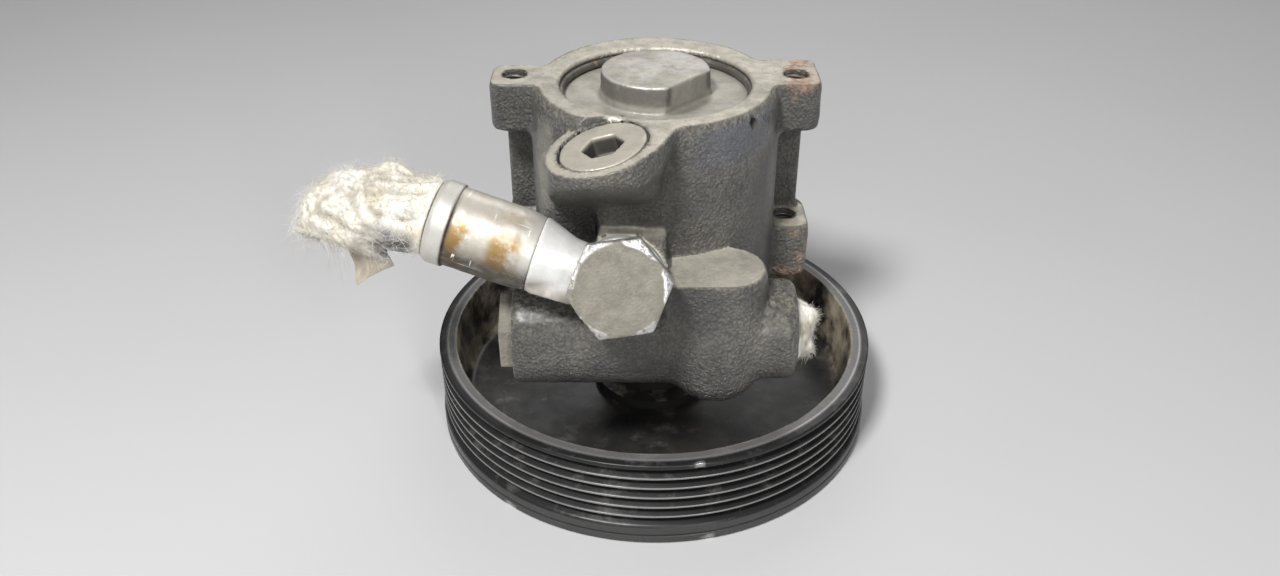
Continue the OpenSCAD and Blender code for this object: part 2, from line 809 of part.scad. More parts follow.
// Plate under the rotor, on the chamber's floor
module thrust_plate() {
    color("#82807c") difference() {
        rod(chamber_r - RUN, chamber_z, cam_z);
        rod(shaft_r + EDGE / 2, chamber_z - OVER, cam_z + OVER);
        ports(cam_z - port_w, cam_z + OVER);
        dowel_holes(FIT, cam_z - dowel_down, cam_z + OVER);
    }
}

// Pins that line up the plates and the cam ring
module dowel_pins() {
    color("#b5b3b0") dowel_holes(0, cam_z - dowel_down, plate_z + dowel_up);
}

// Snap ring that keeps the rotor on the spline
module rotor_ring() {
    color("#55524f") tube(rotor_ring_r, spline_r - EDGE / 2, plate_z + EDGE / 2, plate_z + EDGE / 2 + rotor_ring_t);
}

// Shaft from the pulley hub up through the rotor
module drive_shaft() {
    ring_z = plate_z + EDGE / 2;
    color("#a9a7a4") difference() {
        union() {
            rod(shaft_r, shaft_foot_z, cam_z - EDGE / 2);
            translate([0, 0, cam_z - EDGE]) linear_extrude(shaft_top_z - cam_z + EDGE) spline_outline(0);
        }
        tube(spline_r + 2 * spline_h, spline_r - EDGE / 2 - FIT, ring_z - FIT, ring_z + rotor_ring_t + FIT);
    }
}

// Plain bush behind the seal
module shaft_bushing() {
    color("#a4793f") tube(bushing_r, shaft_r + RUN, bushing_z, bushing_z + bushing_len);
}

// Lip seal in its case
module shaft_seal() {
    case_wall = 1.5;
    color("#2a2a2a") {
        tube(seal_r, seal_r - case_wall, seal_z, seal_z + seal_h);
        tube(seal_r - case_wall / 2, shaft_r + RUN, seal_z + seal_h - case_wall, seal_z + seal_h);
        tube(shaft_r + case_wall, shaft_r + RUN, seal_z + case_wall, seal_z + seal_h - case_wall / 2);
    }
}

module ball_track(z_mid) {
    cord_ring(ball_pitch_r, ball_r + ball_play, z_mid);
}

module bearing_outer_race() {
    color("#b9b8b6") difference() {
        tube(bearing_r, ball_pitch_r + race_gap, bearing_z, bearing_z + bearing_w);
        ball_track(bearing_z + bearing_w / 2);
    }
}

module bearing_inner_race() {
    color("#b9b8b6") difference() {
        tube(ball_pitch_r - race_gap, shaft_r + FIT, bearing_z, bearing_z + bearing_w);
        ball_track(bearing_z + bearing_w / 2);
    }
}

module bearing_balls() {
    color("#cfcfce") for (i = [0:ball_count - 1]) rotate([0, 0, i * 360 / ball_count])
        translate([ball_pitch_r, 0, bearing_z + bearing_w / 2]) sphere(r = ball_r);
}

// Thin cage that keeps the balls apart
module bearing_cage() {
    half_wall = 0.5;
    half_h = ball_r + 0.7;
    z_mid = bearing_z + bearing_w / 2;
    color("#9a7a3c") difference() {
        tube(ball_pitch_r + half_wall, ball_pitch_r - half_wall, z_mid - half_h, z_mid + half_h);
        for (i = [0:ball_count - 1]) rotate([0, 0, i * 360 / ball_count])
            translate([ball_pitch_r - ball_r, 0, z_mid]) rotate([0, 90, 0])
                cylinder(r = ball_r + ball_play, h = 2 * ball_r);
    }
}

// Ring in the neck that holds the bearing
module snap_ring() {
    gap = 6;
    color("#55524f") difference() {
        tube(bearing_r + EDGE - RUN, snap_in_r, snap_z, snap_z + snap_t);
        translate([0, -gap / 2, snap_z - OVER]) cube([2 * bearing_r, gap, snap_t + 2 * OVER]);
    }
}

// Flow control spool with its lands and pockets
module valve_spool() {
    land = 5;
    waist = 1.2;
    color("#a8a6a3") at_valve() difference() {
        rod(valve_r - RUN, spool_left_x, spool_right_x);
        tube(valve_r + OVER, valve_r - waist, spool_left_x + land, spool_left_x + 2 * land);
        tube(valve_r + OVER, valve_r - waist, spool_right_x - 2 * land, spool_right_x - land);
        rod(spring_pocket_r, spool_left_x - OVER, spool_left_x + spring_pocket);
        rod(relief_bore_r, spool_right_x - relief_deep, spool_right_x + OVER);
    }
}

// Spring between the valve plug and the spool
module valve_spring() {
    from_x = -valve_half + plug_thread_len - spring_pocket;
    color("#77757a") at_valve()
        coil(valve_coil_r, valve_wire, from_x + FIT, spool_left_x + spring_pocket - FIT, 6);
}

module relief_ball() {
    color("#cfcfce") at_valve(relief_ball_x) sphere(r = relief_r);
}

module relief_spring() {
    from_x = spool_right_x - relief_deep + FIT;
    to_x = relief_ball_x - relief_r + relief_wire;
    color("#77757a") at_valve() coil(relief_bore_r - 1.75 * relief_wire, relief_wire, from_x, to_x, 4);
}

// Screwed seat under the relief ball
module relief_seat() {
    color("#8c8a87") at_valve() difference() {
        rod(relief_bore_r - FIT, spool_right_x - relief_seat_len, spool_right_x);
        rod(relief_hole_r, spool_right_x - relief_seat_len - OVER, spool_right_x + OVER);
    }
}

// Hexagon plug in the left end of the valve bore
module valve_plug() {
    cord_seat = cord_r * 2 - cord_squeeze;
    groove_x = EDGE;
    color("#6f6a62") at_valve(-valve_half) difference() {
        union() {
            translate([0, 0, -valve_head_t]) hex(valve_plug_af, valve_head_t);
            rod(plug_thread_r, 0, plug_thread_len);
        }
        rod(spring_pocket_r, plug_thread_len - spring_pocket, plug_thread_len + OVER);
        tube(plug_thread_r + OVER, plug_thread_r - cord_seat, groove_x, groove_x + 2 * cord_r);
    }
}

module valve_plug_seal() {
    cord = cord_r - cord_squeeze / 2;
    color("#222222") at_valve(-valve_half) cord_ring(plug_thread_r - cord, cord - FIT, EDGE + cord_r);
}

// Hollow bolt that clamps the banjo eye, with a chamfered hexagon head
module banjo_bolt() {
    face_r = bolt_af / 2 - 0.3;
    corner_r = bolt_af / sqrt(3);
    chamfer_h = (corner_r - face_r) * 0.6;
    head_turn = 8;
    color("#9c968c") at_bolt() difference() {
        union() {
            rod(bolt_r, -port_deep + EDGE, head_s + OVER);
            intersection() {
                translate([0, 0, head_s]) rotate([0, 0, head_turn]) hex(bolt_af, bolt_head_h);
                translate([0, 0, head_s]) rotate_extrude() polygon([
                    [0, 0], [corner_r + OVER, 0], [corner_r + OVER, bolt_head_h - chamfer_h],
                    [corner_r, bolt_head_h - chamfer_h], [face_r, bolt_head_h], [0, bolt_head_h]
                ]);
            }
        }
        rod(bolt_bore_r, -port_deep, eye_mid + bolt_bore_r);
        for (turn = [0, 90]) translate([0, 0, eye_mid]) rotate([0, 90, turn])
            cylinder(r = bolt_bore_r * 0.8, h = 4 * bolt_r, center = true);
    }
}

module washer_outer() {
    color("#a8703c") at_bolt() tube(washer_r, bolt_r + 2 * RUN, washer_t + eye_t, head_s);
}

module washer_inner() {
    color("#a8703c") at_bolt() tube(washer_r, bolt_r + 2 * RUN, 0, washer_t);
}

// Banjo eye with its tapered neck and the barb inside the hose
module banjo_fitting() {
    color("#a9a6a0") difference() {
        union() {
            at_bolt() rod(eye_r, washer_t, washer_t + eye_t);
            at_hose() {
                rod(hose_neck_r, washer_r + EDGE / 2, cone_s);
                translate([0, 0, cone_s])
                    cylinder(r1 = hose_neck_r, r2 = sleeve_r - 0.3, h = sleeve_s - cone_s);
                rod(barb_r, sleeve_s - OVER, sleeve_s + barb_len);
                rotate([0, -90, 0]) translate([0, 0, -fin_t / 2]) linear_extrude(fin_t) polygon([
                    [0, 0], [washer_r, fin_low], [sleeve_s - EDGE, fin_low + EDGE / 2], [sleeve_s - EDGE, 0]
                ]);
            }
        }
        at_bolt() rod(eye_bore_r, -OVER, 2 * eye_t);
        at_hose() rod(hose_bore_r, 0, sleeve_s + barb_len + OVER);
    }
}

// Crimped sleeve with its raised collar
module hose_sleeve() {
    joint = 0.8;
    end_s = sleeve_s + sleeve_len;
    collar_s = end_s - collar_w;
    color("#b39a5f") at_hose() difference() {
        union() {
            rod(sleeve_r, sleeve_s, end_s);
            rod(collar_r, collar_s, end_s);
        }
        rod(sleeve_r - sleeve_wall, sleeve_s - OVER, end_s + OVER);
        tube(sleeve_r + OVER, sleeve_r - joint, collar_s - joint, collar_s);
    }
}

// Short end of rubber hose left in the sleeve
module hose_stub() {
    spare = 1.5;
    color("#262626") at_hose()
        tube(sleeve_r - sleeve_wall - FIT, barb_r + FIT, sleeve_s, sleeve_s + sleeve_len - spare);
}

// Rag stuffed into the hose end, as a plain wad with one hanging corner
module outlet_rag() {
    $fn = 32;
    end_s = sleeve_s + sleeve_len;
    mouth_r = sleeve_r - rag_play;
    mid = 0.4 * wad_reach;
    color("#d9d3c6") at_hose() {
        rod(barb_r - rag_play, sleeve_s + barb_len + OVER, end_s + wad_r / 2);
        translate([0, 0, end_s + rag_play]) intersection() {
            hull() {
                translate([0, 0, 0.2 * mouth_r]) sphere(r = mouth_r);
                translate([0.2 * wad_r, 0.2 * wad_sag, mid]) sphere(r = wad_r);
                translate([0, wad_sag, wad_reach - wad_tip_r]) sphere(r = wad_tip_r);
            }
            rod(3 * sleeve_r, 0, 2 * wad_reach);
        }
        hull() {
            translate([0, 0.7 * wad_r, end_s + mid]) sphere(r = 2.5 * corner_r);
            translate([0, corner_drop - corner_r, end_s + mid]) sphere(r = corner_r);
        }
    }
}

// Rag stuffed into the suction port
module suction_rag() {
    $fn = 32;
    plug_deep = 9;
    fold_r = 0.8 * tuft_reach;
    fold_s = tuft_reach - fold_r;
    color("#d9d3c6") at_valve(valve_half) {
        rod(suction_r - rag_play, -plug_deep, rag_play);
        hull() {
            rod(suction_r - rag_play, 0, rag_play);
            translate([-0.35 * suction_r, 0, fold_s]) sphere(r = fold_r);
            translate([0.4 * suction_r, -0.1 * suction_r, fold_s]) sphere(r = fold_r);
        }
    }
}

// Belt pulley: grooved rim with a dished web
module pulley() {
    hub_hole_r = hub_r + FIT;
    web_foot_z = web_top_z - web_t;
    half_pitch = groove_pitch / 2;
    grooves = [
        for (i = [0:groove_count - 1], step = [[0, -1, 1], [1, -1, 1], [1, 1, 1], [0, 1, 1]])
            let (mid = low_band + (i + 0.5) * groove_pitch)
            let (half = step[0] ? groove_flat / 2 : half_pitch - groove_flat / 2)
            [crest_r - step[0] * groove_depth, mid + step[1] * half]
    ];
    color("#2b2b2c") rotate_extrude() polygon(concat(
        [[hub_hole_r, web_foot_z], [dish_r, web_foot_z], [dish_r, lip_edge], [dish_r + lip_edge, 0]],
        [[pulley_r - lip_edge, 0], [pulley_r, lip_edge], [pulley_r, low_band - lip_edge]],
        grooves,
        arc([crest_r - lip_edge, pulley_h - lip_edge], lip_edge, 0, 90, 4),
        arc([rim_in_r + lip_edge, pulley_h - lip_edge], lip_edge, 90, 180, 4),
        arc([dish_r - dish_fillet, web_top_z + dish_fillet], dish_fillet, 0, -90, 6),
        [[hub_hole_r, web_top_z]]
    ));
}

// Hub welded to the web and pressed on the shaft
module pulley_hub() {
    color("#3a3938") difference() {
        union() {
            rod(hub_r, hub_foot_z, hub_top_z);
            rod(hub_flange_r, web_top_z, web_top_z + hub_flange_t);
        }
        rod(shaft_r + FIT, hub_foot_z - OVER, hub_top_z + OVER);
    }
}

housing();
gallery_plug();
end_cover();
end_cover_seal();
retaining_ring();
pressure_plate_spring();
pressure_plate();
pressure_plate_seal();
cam_ring();
rotor();
vane(1);  // vane_1
vane(2);  // vane_2
vane(3);  // vane_3
vane(4);  // vane_4
vane(5);  // vane_5
vane(6);  // vane_6
vane(7);  // vane_7
vane(8);  // vane_8
vane(9);  // vane_9
vane(10);  // vane_10
thrust_plate();
dowel_pins();
rotor_ring();
drive_shaft();
shaft_bushing();
shaft_seal();
bearing_outer_race();
bearing_inner_race();
bearing_balls();
bearing_cage();
snap_ring();
valve_spool();
valve_spring();
relief_ball();
relief_spring();
relief_seat();
valve_plug();
valve_plug_seal();
banjo_bolt();
washer_outer();
washer_inner();
banjo_fitting();
hose_sleeve();
hose_stub();
outlet_rag();
suction_rag();
pulley();
pulley_hub();
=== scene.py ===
"""Looks of a power steering pump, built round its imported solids.

The cast housing, the turned pulley, the outlet pieces and the two rags are modelled here over
their plain solids. Every other solid keeps its mesh and gets a finish of its own.
"""

import json
import logging
import math
from dataclasses import dataclass
from enum import Enum
from typing import Callable, Optional, Sequence, Union

import bmesh
import bpy
import numpy as np
from mathutils import Euler, Matrix, Vector, noise


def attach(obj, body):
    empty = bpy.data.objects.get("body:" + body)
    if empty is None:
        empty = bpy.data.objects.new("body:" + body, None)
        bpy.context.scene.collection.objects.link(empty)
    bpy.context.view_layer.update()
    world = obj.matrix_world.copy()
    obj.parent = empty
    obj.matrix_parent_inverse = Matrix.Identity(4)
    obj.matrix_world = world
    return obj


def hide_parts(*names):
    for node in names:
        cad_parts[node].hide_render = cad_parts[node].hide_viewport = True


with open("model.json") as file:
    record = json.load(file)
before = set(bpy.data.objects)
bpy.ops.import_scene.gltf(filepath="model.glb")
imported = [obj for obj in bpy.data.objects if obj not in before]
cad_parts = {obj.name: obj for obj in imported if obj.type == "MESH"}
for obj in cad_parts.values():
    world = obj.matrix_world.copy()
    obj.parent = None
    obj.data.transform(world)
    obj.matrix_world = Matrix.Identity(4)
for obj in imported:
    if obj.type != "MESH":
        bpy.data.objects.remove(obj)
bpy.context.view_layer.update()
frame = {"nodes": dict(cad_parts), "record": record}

MM = 0.001
PHOTO_WIDTH = 1280
BODY = "pump_body"
TURNING = "rotating_group"
LOG = logging.getLogger("pump")

Colour = tuple[float, float, float]
Point = tuple[float, float, float]
Sides = tuple[tuple[float, float], ...]
Socket = bpy.types.NodeSocket
Value = Union[float, Sequence[float], Socket]


# Frames of the slanted pieces, in metres


def bolt_frame() -> Matrix:
    """Gives the outlet bolt's frame: origin on its seat, +Z out of the housing.

    Returns:
        The frame's matrix.
    """
    seat = Vector((-9.5, -43.8, 72.9)) * MM
    tilt = 26.0
    return Matrix.Translation(seat) @ Matrix.Rotation(math.radians(90 - tilt), 4, "X")


def hose_frame() -> Matrix:
    """Gives the hose end's frame: origin in the middle of the banjo eye, +Z towards the hose.

    Returns:
        The frame's matrix.
    """
    eye_middle = 7.5 * MM
    slant = 19.0
    lift = Matrix.Translation((0, 0, eye_middle))
    turn = Matrix.Rotation(math.radians(180 - slant), 4, "Z")
    return bolt_frame() @ lift @ turn @ Matrix.Rotation(math.radians(90), 4, "Y")


def plug_frame() -> Matrix:
    """Gives the gallery plug's frame: origin on its face, +Z out of the housing.

    Returns:
        The frame's matrix.
    """
    face = Vector((-14.0, -39.0, 110.3)) * MM
    lean, tilt = 4.0, 14.0
    turn = Euler((math.radians(lean), math.radians(-tilt), 0)).to_matrix().to_4x4()
    return Matrix.Translation(face) @ turn


def valve_frame() -> Matrix:
    """Gives the valve bore's frame: origin on the shaft's plane, +Z towards +X."""
    bore = Vector((0, -38.0, 53.0)) * MM
    return Matrix.Translation(bore) @ Matrix.Rotation(math.radians(90), 4, "Y")


def world_point(matrix: Matrix, point: Point) -> Point:
    """Gives a frame's point in the pump's frame, in millimetres."""
    return tuple((matrix @ (Vector(point) * MM)) / MM)


def world_way(matrix: Matrix, way: Point) -> Point:
    """Gives a frame's direction in the pump's frame."""
    return tuple(matrix.to_3x3() @ Vector(way))


def into_frame(rows: np.ndarray, matrix: Matrix) -> np.ndarray:
    """Gives points of the pump in a frame, in millimetres."""
    inward = np.array(matrix.inverted())
    return (rows @ inward[:3, :3].T + inward[:3, 3]) / MM


def out_of_frame(local: np.ndarray, matrix: Matrix) -> np.ndarray:
    """Gives a frame's points, in millimetres, back as points of the pump, in metres."""
    outward = np.array(matrix)
    return (local * MM) @ outward[:3, :3].T + outward[:3, 3]


# Mesh tools


def new_piece(name: str, verts: np.ndarray, faces: Sequence[Sequence[int]]) -> bpy.types.Object:
    """Makes a smooth-shaded mesh object.

    Args:
        name: Name of the object.
        verts: Points, in metres.
        faces: Corner numbers of each face.

    Returns:
        The new object, linked to the scene.
    """
    mesh = bpy.data.meshes.new(name)
    mesh.from_pydata(np.asarray(verts).tolist(), [], [list(map(int, f)) for f in faces])
    mesh.update()
    mesh.shade_smooth()
    made = bpy.data.objects.new(name, mesh)
    bpy.context.scene.collection.objects.link(made)
    return made


def points_of(mesh: bpy.types.Mesh) -> np.ndarray:
    """Gives a mesh's points as rows.

    Args:
        mesh: The mesh.

    Returns:
        One row for each point, in the mesh's own metres.
    """
    flat = np.zeros(len(mesh.vertices) * 3, np.float32)
    mesh.vertices.foreach_get("co", flat)
    return flat.reshape(-1, 3).astype(float)


def put_points(mesh: bpy.types.Mesh, rows: np.ndarray) -> None:
    """Writes rows of points back into a mesh."""
    mesh.vertices.foreach_set("co", rows.astype(np.float32).ravel())
    mesh.update()


def normals_of(mesh: bpy.types.Mesh) -> np.ndarray:
    """Gives a mesh's vertex normals as rows.

    Args:
        mesh: The mesh.

    Returns:
        One row for each point.
    """
    flat = np.zeros(len(mesh.vertices) * 3, np.float32)
    mesh.vertex_normals.foreach_get("vector", flat)
    return flat.reshape(-1, 3).astype(float)


def edges_of(mesh: bpy.types.Mesh) -> np.ndarray:
    """Gives a mesh's edges as pairs of point numbers.

    Args:
        mesh: The mesh.

    Returns:
        One row for each edge.
    """
    flat = np.zeros(len(mesh.edges) * 2, np.int32)
    mesh.edges.foreach_get("vertices", flat)
    return flat.reshape(-1, 2)


def paint(mesh: bpy.types.Mesh, name: str, values: np.ndarray) -> None:
    """Stores one number for each point, for a finish to read by name."""
    layer = mesh.attributes.new(name, "FLOAT", "POINT")
    layer.data.foreach_set("value", np.clip(values, 0, 1).astype(np.float32))


def step(values: np.ndarray, low: float, high: float) -> np.ndarray:
    """Rises smoothly from 0 at low to 1 at high; low may be the larger one."""
    share = np.clip((values - low) / (high - low), 0, 1)
    return share * share * (3 - 2 * share)


def polar(rows: np.ndarray) -> tuple[np.ndarray, np.ndarray]:
    """Gives each point's radius round Z and its angle from +X, in degrees."""
    return np.hypot(rows[:, 0], rows[:, 1]), np.degrees(np.arctan2(rows[:, 1], rows[:, 0]))


def ripple(points: np.ndarray, size: float, seed: float, octaves: int = 2) -> np.ndarray:
    """Gives smooth noise between about -1 and 1.

    Args:
        points: Points.
        size: Size of one wave, in the unit of the points.
        seed: Shifts the noise to another part of its field.
        octaves: How many finer layers are added.

    Returns:
        One number for each point.
    """
    rows = (points / size + seed).tolist()
    return np.array([noise.fractal(row, 0.8, 2.0, octaves) for row in rows])


def bake_modifiers(piece: bpy.types.Object) -> None:
    """Replaces a piece's mesh by what its modifiers make of it.

    Args:
        piece: The piece, which keeps no modifier.
    """
    graph = bpy.context.evaluated_depsgraph_get()
    mesh = bpy.data.meshes.new_from_object(piece.evaluated_get(graph))
    piece.modifiers.clear()
    piece.data = mesh


def even_copy(node: str, name: str, voxel: float) -> bpy.types.Object:
    """Copies a solid as an even mesh whose edges can be worn and rounded.

    Args:
        node: Name of the solid.
        name: Name of the new piece.
        voxel: Size of a face, in metres.

    Returns:
        The new piece.
    """
    same_place = 0.002 * MM
    shell = bmesh.new()
    shell.from_mesh(frame["nodes"][node].data)
    bmesh.ops.remove_doubles(shell, verts=shell.verts, dist=same_place)
    mesh = bpy.data.meshes.new(name)
    shell.to_mesh(mesh)
    shell.free()
    piece = bpy.data.objects.new(name, mesh)
    bpy.context.scene.collection.objects.link(piece)
    remesh = piece.modifiers.new("even_faces", "REMESH")
    remesh.mode = "VOXEL"
    remesh.voxel_size = voxel
    bake_modifiers(piece)
    piece.data.shade_smooth()
    return piece


def thin_out(piece: bpy.types.Object, most: int, keep: Optional[np.ndarray] = None) -> None:
    """Collapses faces until a piece has no more triangles than it may.

    Args:
        piece: The piece.
        most: Largest number of triangles.
        keep: Tells which points stay.
    """
    piece.data.calc_loop_triangles()
    count = len(piece.data.loop_triangles)
    if count > most:
        thinner = piece.modifiers.new("thin_out", "DECIMATE")
        thinner.ratio = most / count
        if keep is not None:
            group = piece.vertex_groups.new(name="thinned")
            group.add(np.nonzero(~keep)[0].tolist(), 1.0, "REPLACE")
            thinner.vertex_group = group.name
        bake_modifiers(piece)
        piece.vertex_groups.clear()
    piece.data.shade_smooth()


def relax(
    rows: np.ndarray,
    edges: np.ndarray,
    share: np.ndarray,
    rounds: int,
    hold: Optional[Callable[[np.ndarray], np.ndarray]] = None,
) -> np.ndarray:
    """Moves each point towards the middle of its neighbours.

    Args:
        rows: Points.
        edges: Pairs of neighbouring points.
        share: How far each point goes in one round, from 0 to 1.
        rounds: Number of rounds.
        hold: Puts points back on what they have to stay on.

    Returns:
        The moved points.
    """
    count = len(rows)
    ends = np.concatenate([edges[:, 0], edges[:, 1]])
    others = np.concatenate([edges[:, 1], edges[:, 0]])
    degree = np.maximum(np.bincount(ends, minlength=count), 1)[:, None]
    for _ in range(rounds):
        sums = [np.bincount(ends, weights=rows[others, k], minlength=count) for k in range(3)]
        middle = np.stack(sums, axis=1) / degree
        rows = rows + (middle - rows) * share[:, None]
        if hold:
            rows = hold(rows)
    return rows


def worn_copy(
    node: str, name: str, voxel: float, rounds: int, most: Optional[int] = None
) -> bpy.types.Object:
    """Copies a solid with rounded edges.

    Args:
        node: Name of the solid.
        name: Name of the new piece.
        voxel: Size of a face, in millimetres.
        rounds: How much its edges are rounded.
        most: Largest number of triangles, where the copy is thinned out at once.

    Returns:
        The worn copy.
    """
    piece = even_copy(node, name, voxel * MM)
    rows = points_of(piece.data)
    put_points(piece.data, relax(rows, edges_of(piece.data), np.full(len(rows), 0.5), rounds))
    if most is not None:
        thin_out(piece, most)
    return piece


def soften(points: Sequence[tuple[float, float]], radius: float, steps: int = 3) -> np.ndarray:
    """Rounds the corners of an open outline.

    Args:
        points: Corners, as radius and height.
        radius: Size of the rounding, cut back where a side is short.
        steps: Faces across a rounded corner.

    Returns:
        The rounded outline as rows.
    """
    rows = np.array(points, float)
    made = [rows[0]]
    for before, corner, after in zip(rows[:-2], rows[1:-1], rows[2:]):
        back, ahead = before - corner, after - corner
        size_back, size_ahead = np.linalg.norm(back), np.linalg.norm(ahead)
        cut = min(radius, 0.4 * size_back, 0.4 * size_ahead)
        first = corner + back / size_back * cut
        last = corner + ahead / size_ahead * cut
        for i in range(steps + 1):
            t = i / steps
            made.append((1 - t) ** 2 * first + 2 * t * (1 - t) * corner + t * t * last)
    made.append(rows[-1])
    return np.array(made)


def divided(outline: np.ndarray, size: float, beyond: float = 0.0) -> np.ndarray:
    """Divides the long sides of an outline.

    Args:
        outline: Rows of radius and height.
        size: Longest side that stays whole.
        beyond: Radius beyond which sides are divided.

    Returns:
        The outline with more rows.
    """
    made = [outline[0]]
    for first, last in zip(outline[:-1], outline[1:]):
        outside = min(first[0], last[0]) > beyond
        cuts = max(1, math.ceil(np.linalg.norm(last - first) / size)) if outside else 1
        made += [first + (last - first) * (i + 1) / cuts for i in range(cuts)]
    return np.array(made)


def lathe(name: str, outline: np.ndarray, segments: int) -> bpy.types.Object:
    """Turns a closed outline round Z.

    Args:
        name: Name of the piece.
        outline: Rows of radius and height, in millimetres, the last joined to the first.
        segments: Faces round the axis.

    Returns:
        The turned piece.
    """
    count = len(outline)
    angles = np.arange(segments) * 2 * math.pi / segments
    radius = outline[:, 0][None, :]
    x = np.cos(angles)[:, None] * radius
    y = np.sin(angles)[:, None] * radius
    z = np.repeat(outline[:, 1][None, :], segments, axis=0)
    verts = np.stack([x, y, z], axis=2).reshape(-1, 3) * MM
    here = np.arange(segments * count).reshape(segments, count)
    ahead = np.roll(here, -1, axis=0)
    quads = np.stack([here, ahead, np.roll(ahead, -1, axis=1), np.roll(here, -1, axis=1)], axis=2)
    return new_piece(name, verts, quads.reshape(-1, 4))


# Shader tools


class Graph:
    """Short words for adding and joining shader nodes."""

    def __init__(self, tree: bpy.types.NodeTree) -> None:
        """Keeps the tree that nodes are added to."""
        self.tree = tree

    def put(self, target: Socket, value: Value) -> None:
        """Links a socket to a target, or writes a plain value on it.

        Args:
            target: The socket that is fed.
            value: What feeds it.
        """
        if isinstance(value, bpy.types.NodeSocket):
            self.tree.links.new(value, target)
        else:
            target.default_value = value

    def node(self, kind: str, inputs: Optional[dict] = None, **settings: object) -> bpy.types.Node:
        """Adds a node.

        Args:
            kind: Blender's name of the node.
            inputs: Values or sockets for its inputs, by name or number.
            **settings: Properties of the node.

        Returns:
            The node.
        """
        made = self.tree.nodes.new(kind)
        for name, value in settings.items():
            setattr(made, name, value)
        for name, value in (inputs or {}).items():
            self.put(made.inputs[name], value)
        return made

    def math(self, operation: str, first: Value, second: Value = 0.0, clamp: bool = False) -> Socket:
        """Gives the result of one sum."""
        made = self.node("ShaderNodeMath", {0: first, 1: second}, operation=operation, use_clamp=clamp)
        return made.outputs[0]

    def times(self, *values: Value) -> Socket:
        """Multiplies several values.

        Args:
            *values: Numbers or sockets.

        Returns:
            Their product.
        """
        result = values[0]
        for value in values[1:]:
            result = self.math("MULTIPLY", result, value)
        return result

    def most(self, *values: Value) -> Socket:
        """Gives the largest of several values.

        Args:
            *values: Numbers or sockets.

        Returns:
            The largest one.
        """
        result = values[0]
        for value in values[1:]:
            result = self.math("MAXIMUM", result, value)
        return result

    def mix(self, share: Value, first: Value, second: Value) -> Socket:
        """Mixes two colours.

        Args:
            share: How much of the second one there is, from 0 to 1.
            first: A colour.
            second: Another colour.

        Returns:
            The mixed colour.
        """
        four = [(*c, 1.0) if isinstance(c, tuple) and len(c) == 3 else c for c in (first, second)]
        inputs = {0: share, 6: four[0], 7: four[1]}
        return self.node("ShaderNodeMix", inputs, data_type="RGBA").outputs[2]

    def span(self, value: Value, low: float, high: float, to: tuple[Value, Value] = (0.0, 1.0)) -> Socket:
        """Maps a value smoothly from one range to another.

        Args:
            value: The value.
            low: Start of its range.
            high: End of its range.
            to: Start and end of the new range.

        Returns:
            The mapped value.
        """
        inputs = {"Value": value, "From Min": low, "From Max": high, "To Min": to[0], "To Max": to[1]}
        made = self.node("ShaderNodeMapRange", inputs, interpolation_type="SMOOTHSTEP")
        return made.outputs[0]

    def place(self, stretch: Point = (1, 1, 1)) -> Socket:
        """Gives the place on the piece, stretched along its own axes.

        Args:
            stretch: Factor along each axis.

        Returns:
            The place, as a vector.
        """
        spot = self.node("ShaderNodeTexCoord").outputs["Object"]
        if stretch == (1, 1, 1):
            return spot
        return self.node("ShaderNodeMapping", {"Vector": spot, "Scale": stretch}).outputs[0]

    def noise(
        self, scale: Value, detail: float = 4.0, rough: float = 0.55, at: Optional[Socket] = None
    ) -> Socket:
        """Gives cloudy noise between 0 and 1."""
        inputs = {"Vector": at or self.place(), "Scale": scale, "Detail": detail, "Roughness": rough}
        return self.node("ShaderNodeTexNoise", inputs).outputs[0]

    def painted(self, name: str) -> Socket:
        """Gives a number stored on the mesh."""
        return self.node("ShaderNodeAttribute", attribute_name=name).outputs["Fac"]

    def upward(self) -> Socket:
        """Gives how far a face looks up, from -1 to 1."""
        normal = self.node("ShaderNodeNewGeometry").outputs["Normal"]
        return self.node("ShaderNodeSeparateXYZ", {0: normal}).outputs[2]


class Effect(Enum):
    """Effects that several finishes share."""

    GRAIN = "cast_grain"
    DUST = "settled_dust"
    WEAR = "edge_wear"
    RUST = "rust_bloom"
    GRIME = "oily_grime"
    SCRATCH = "fine_scratches"


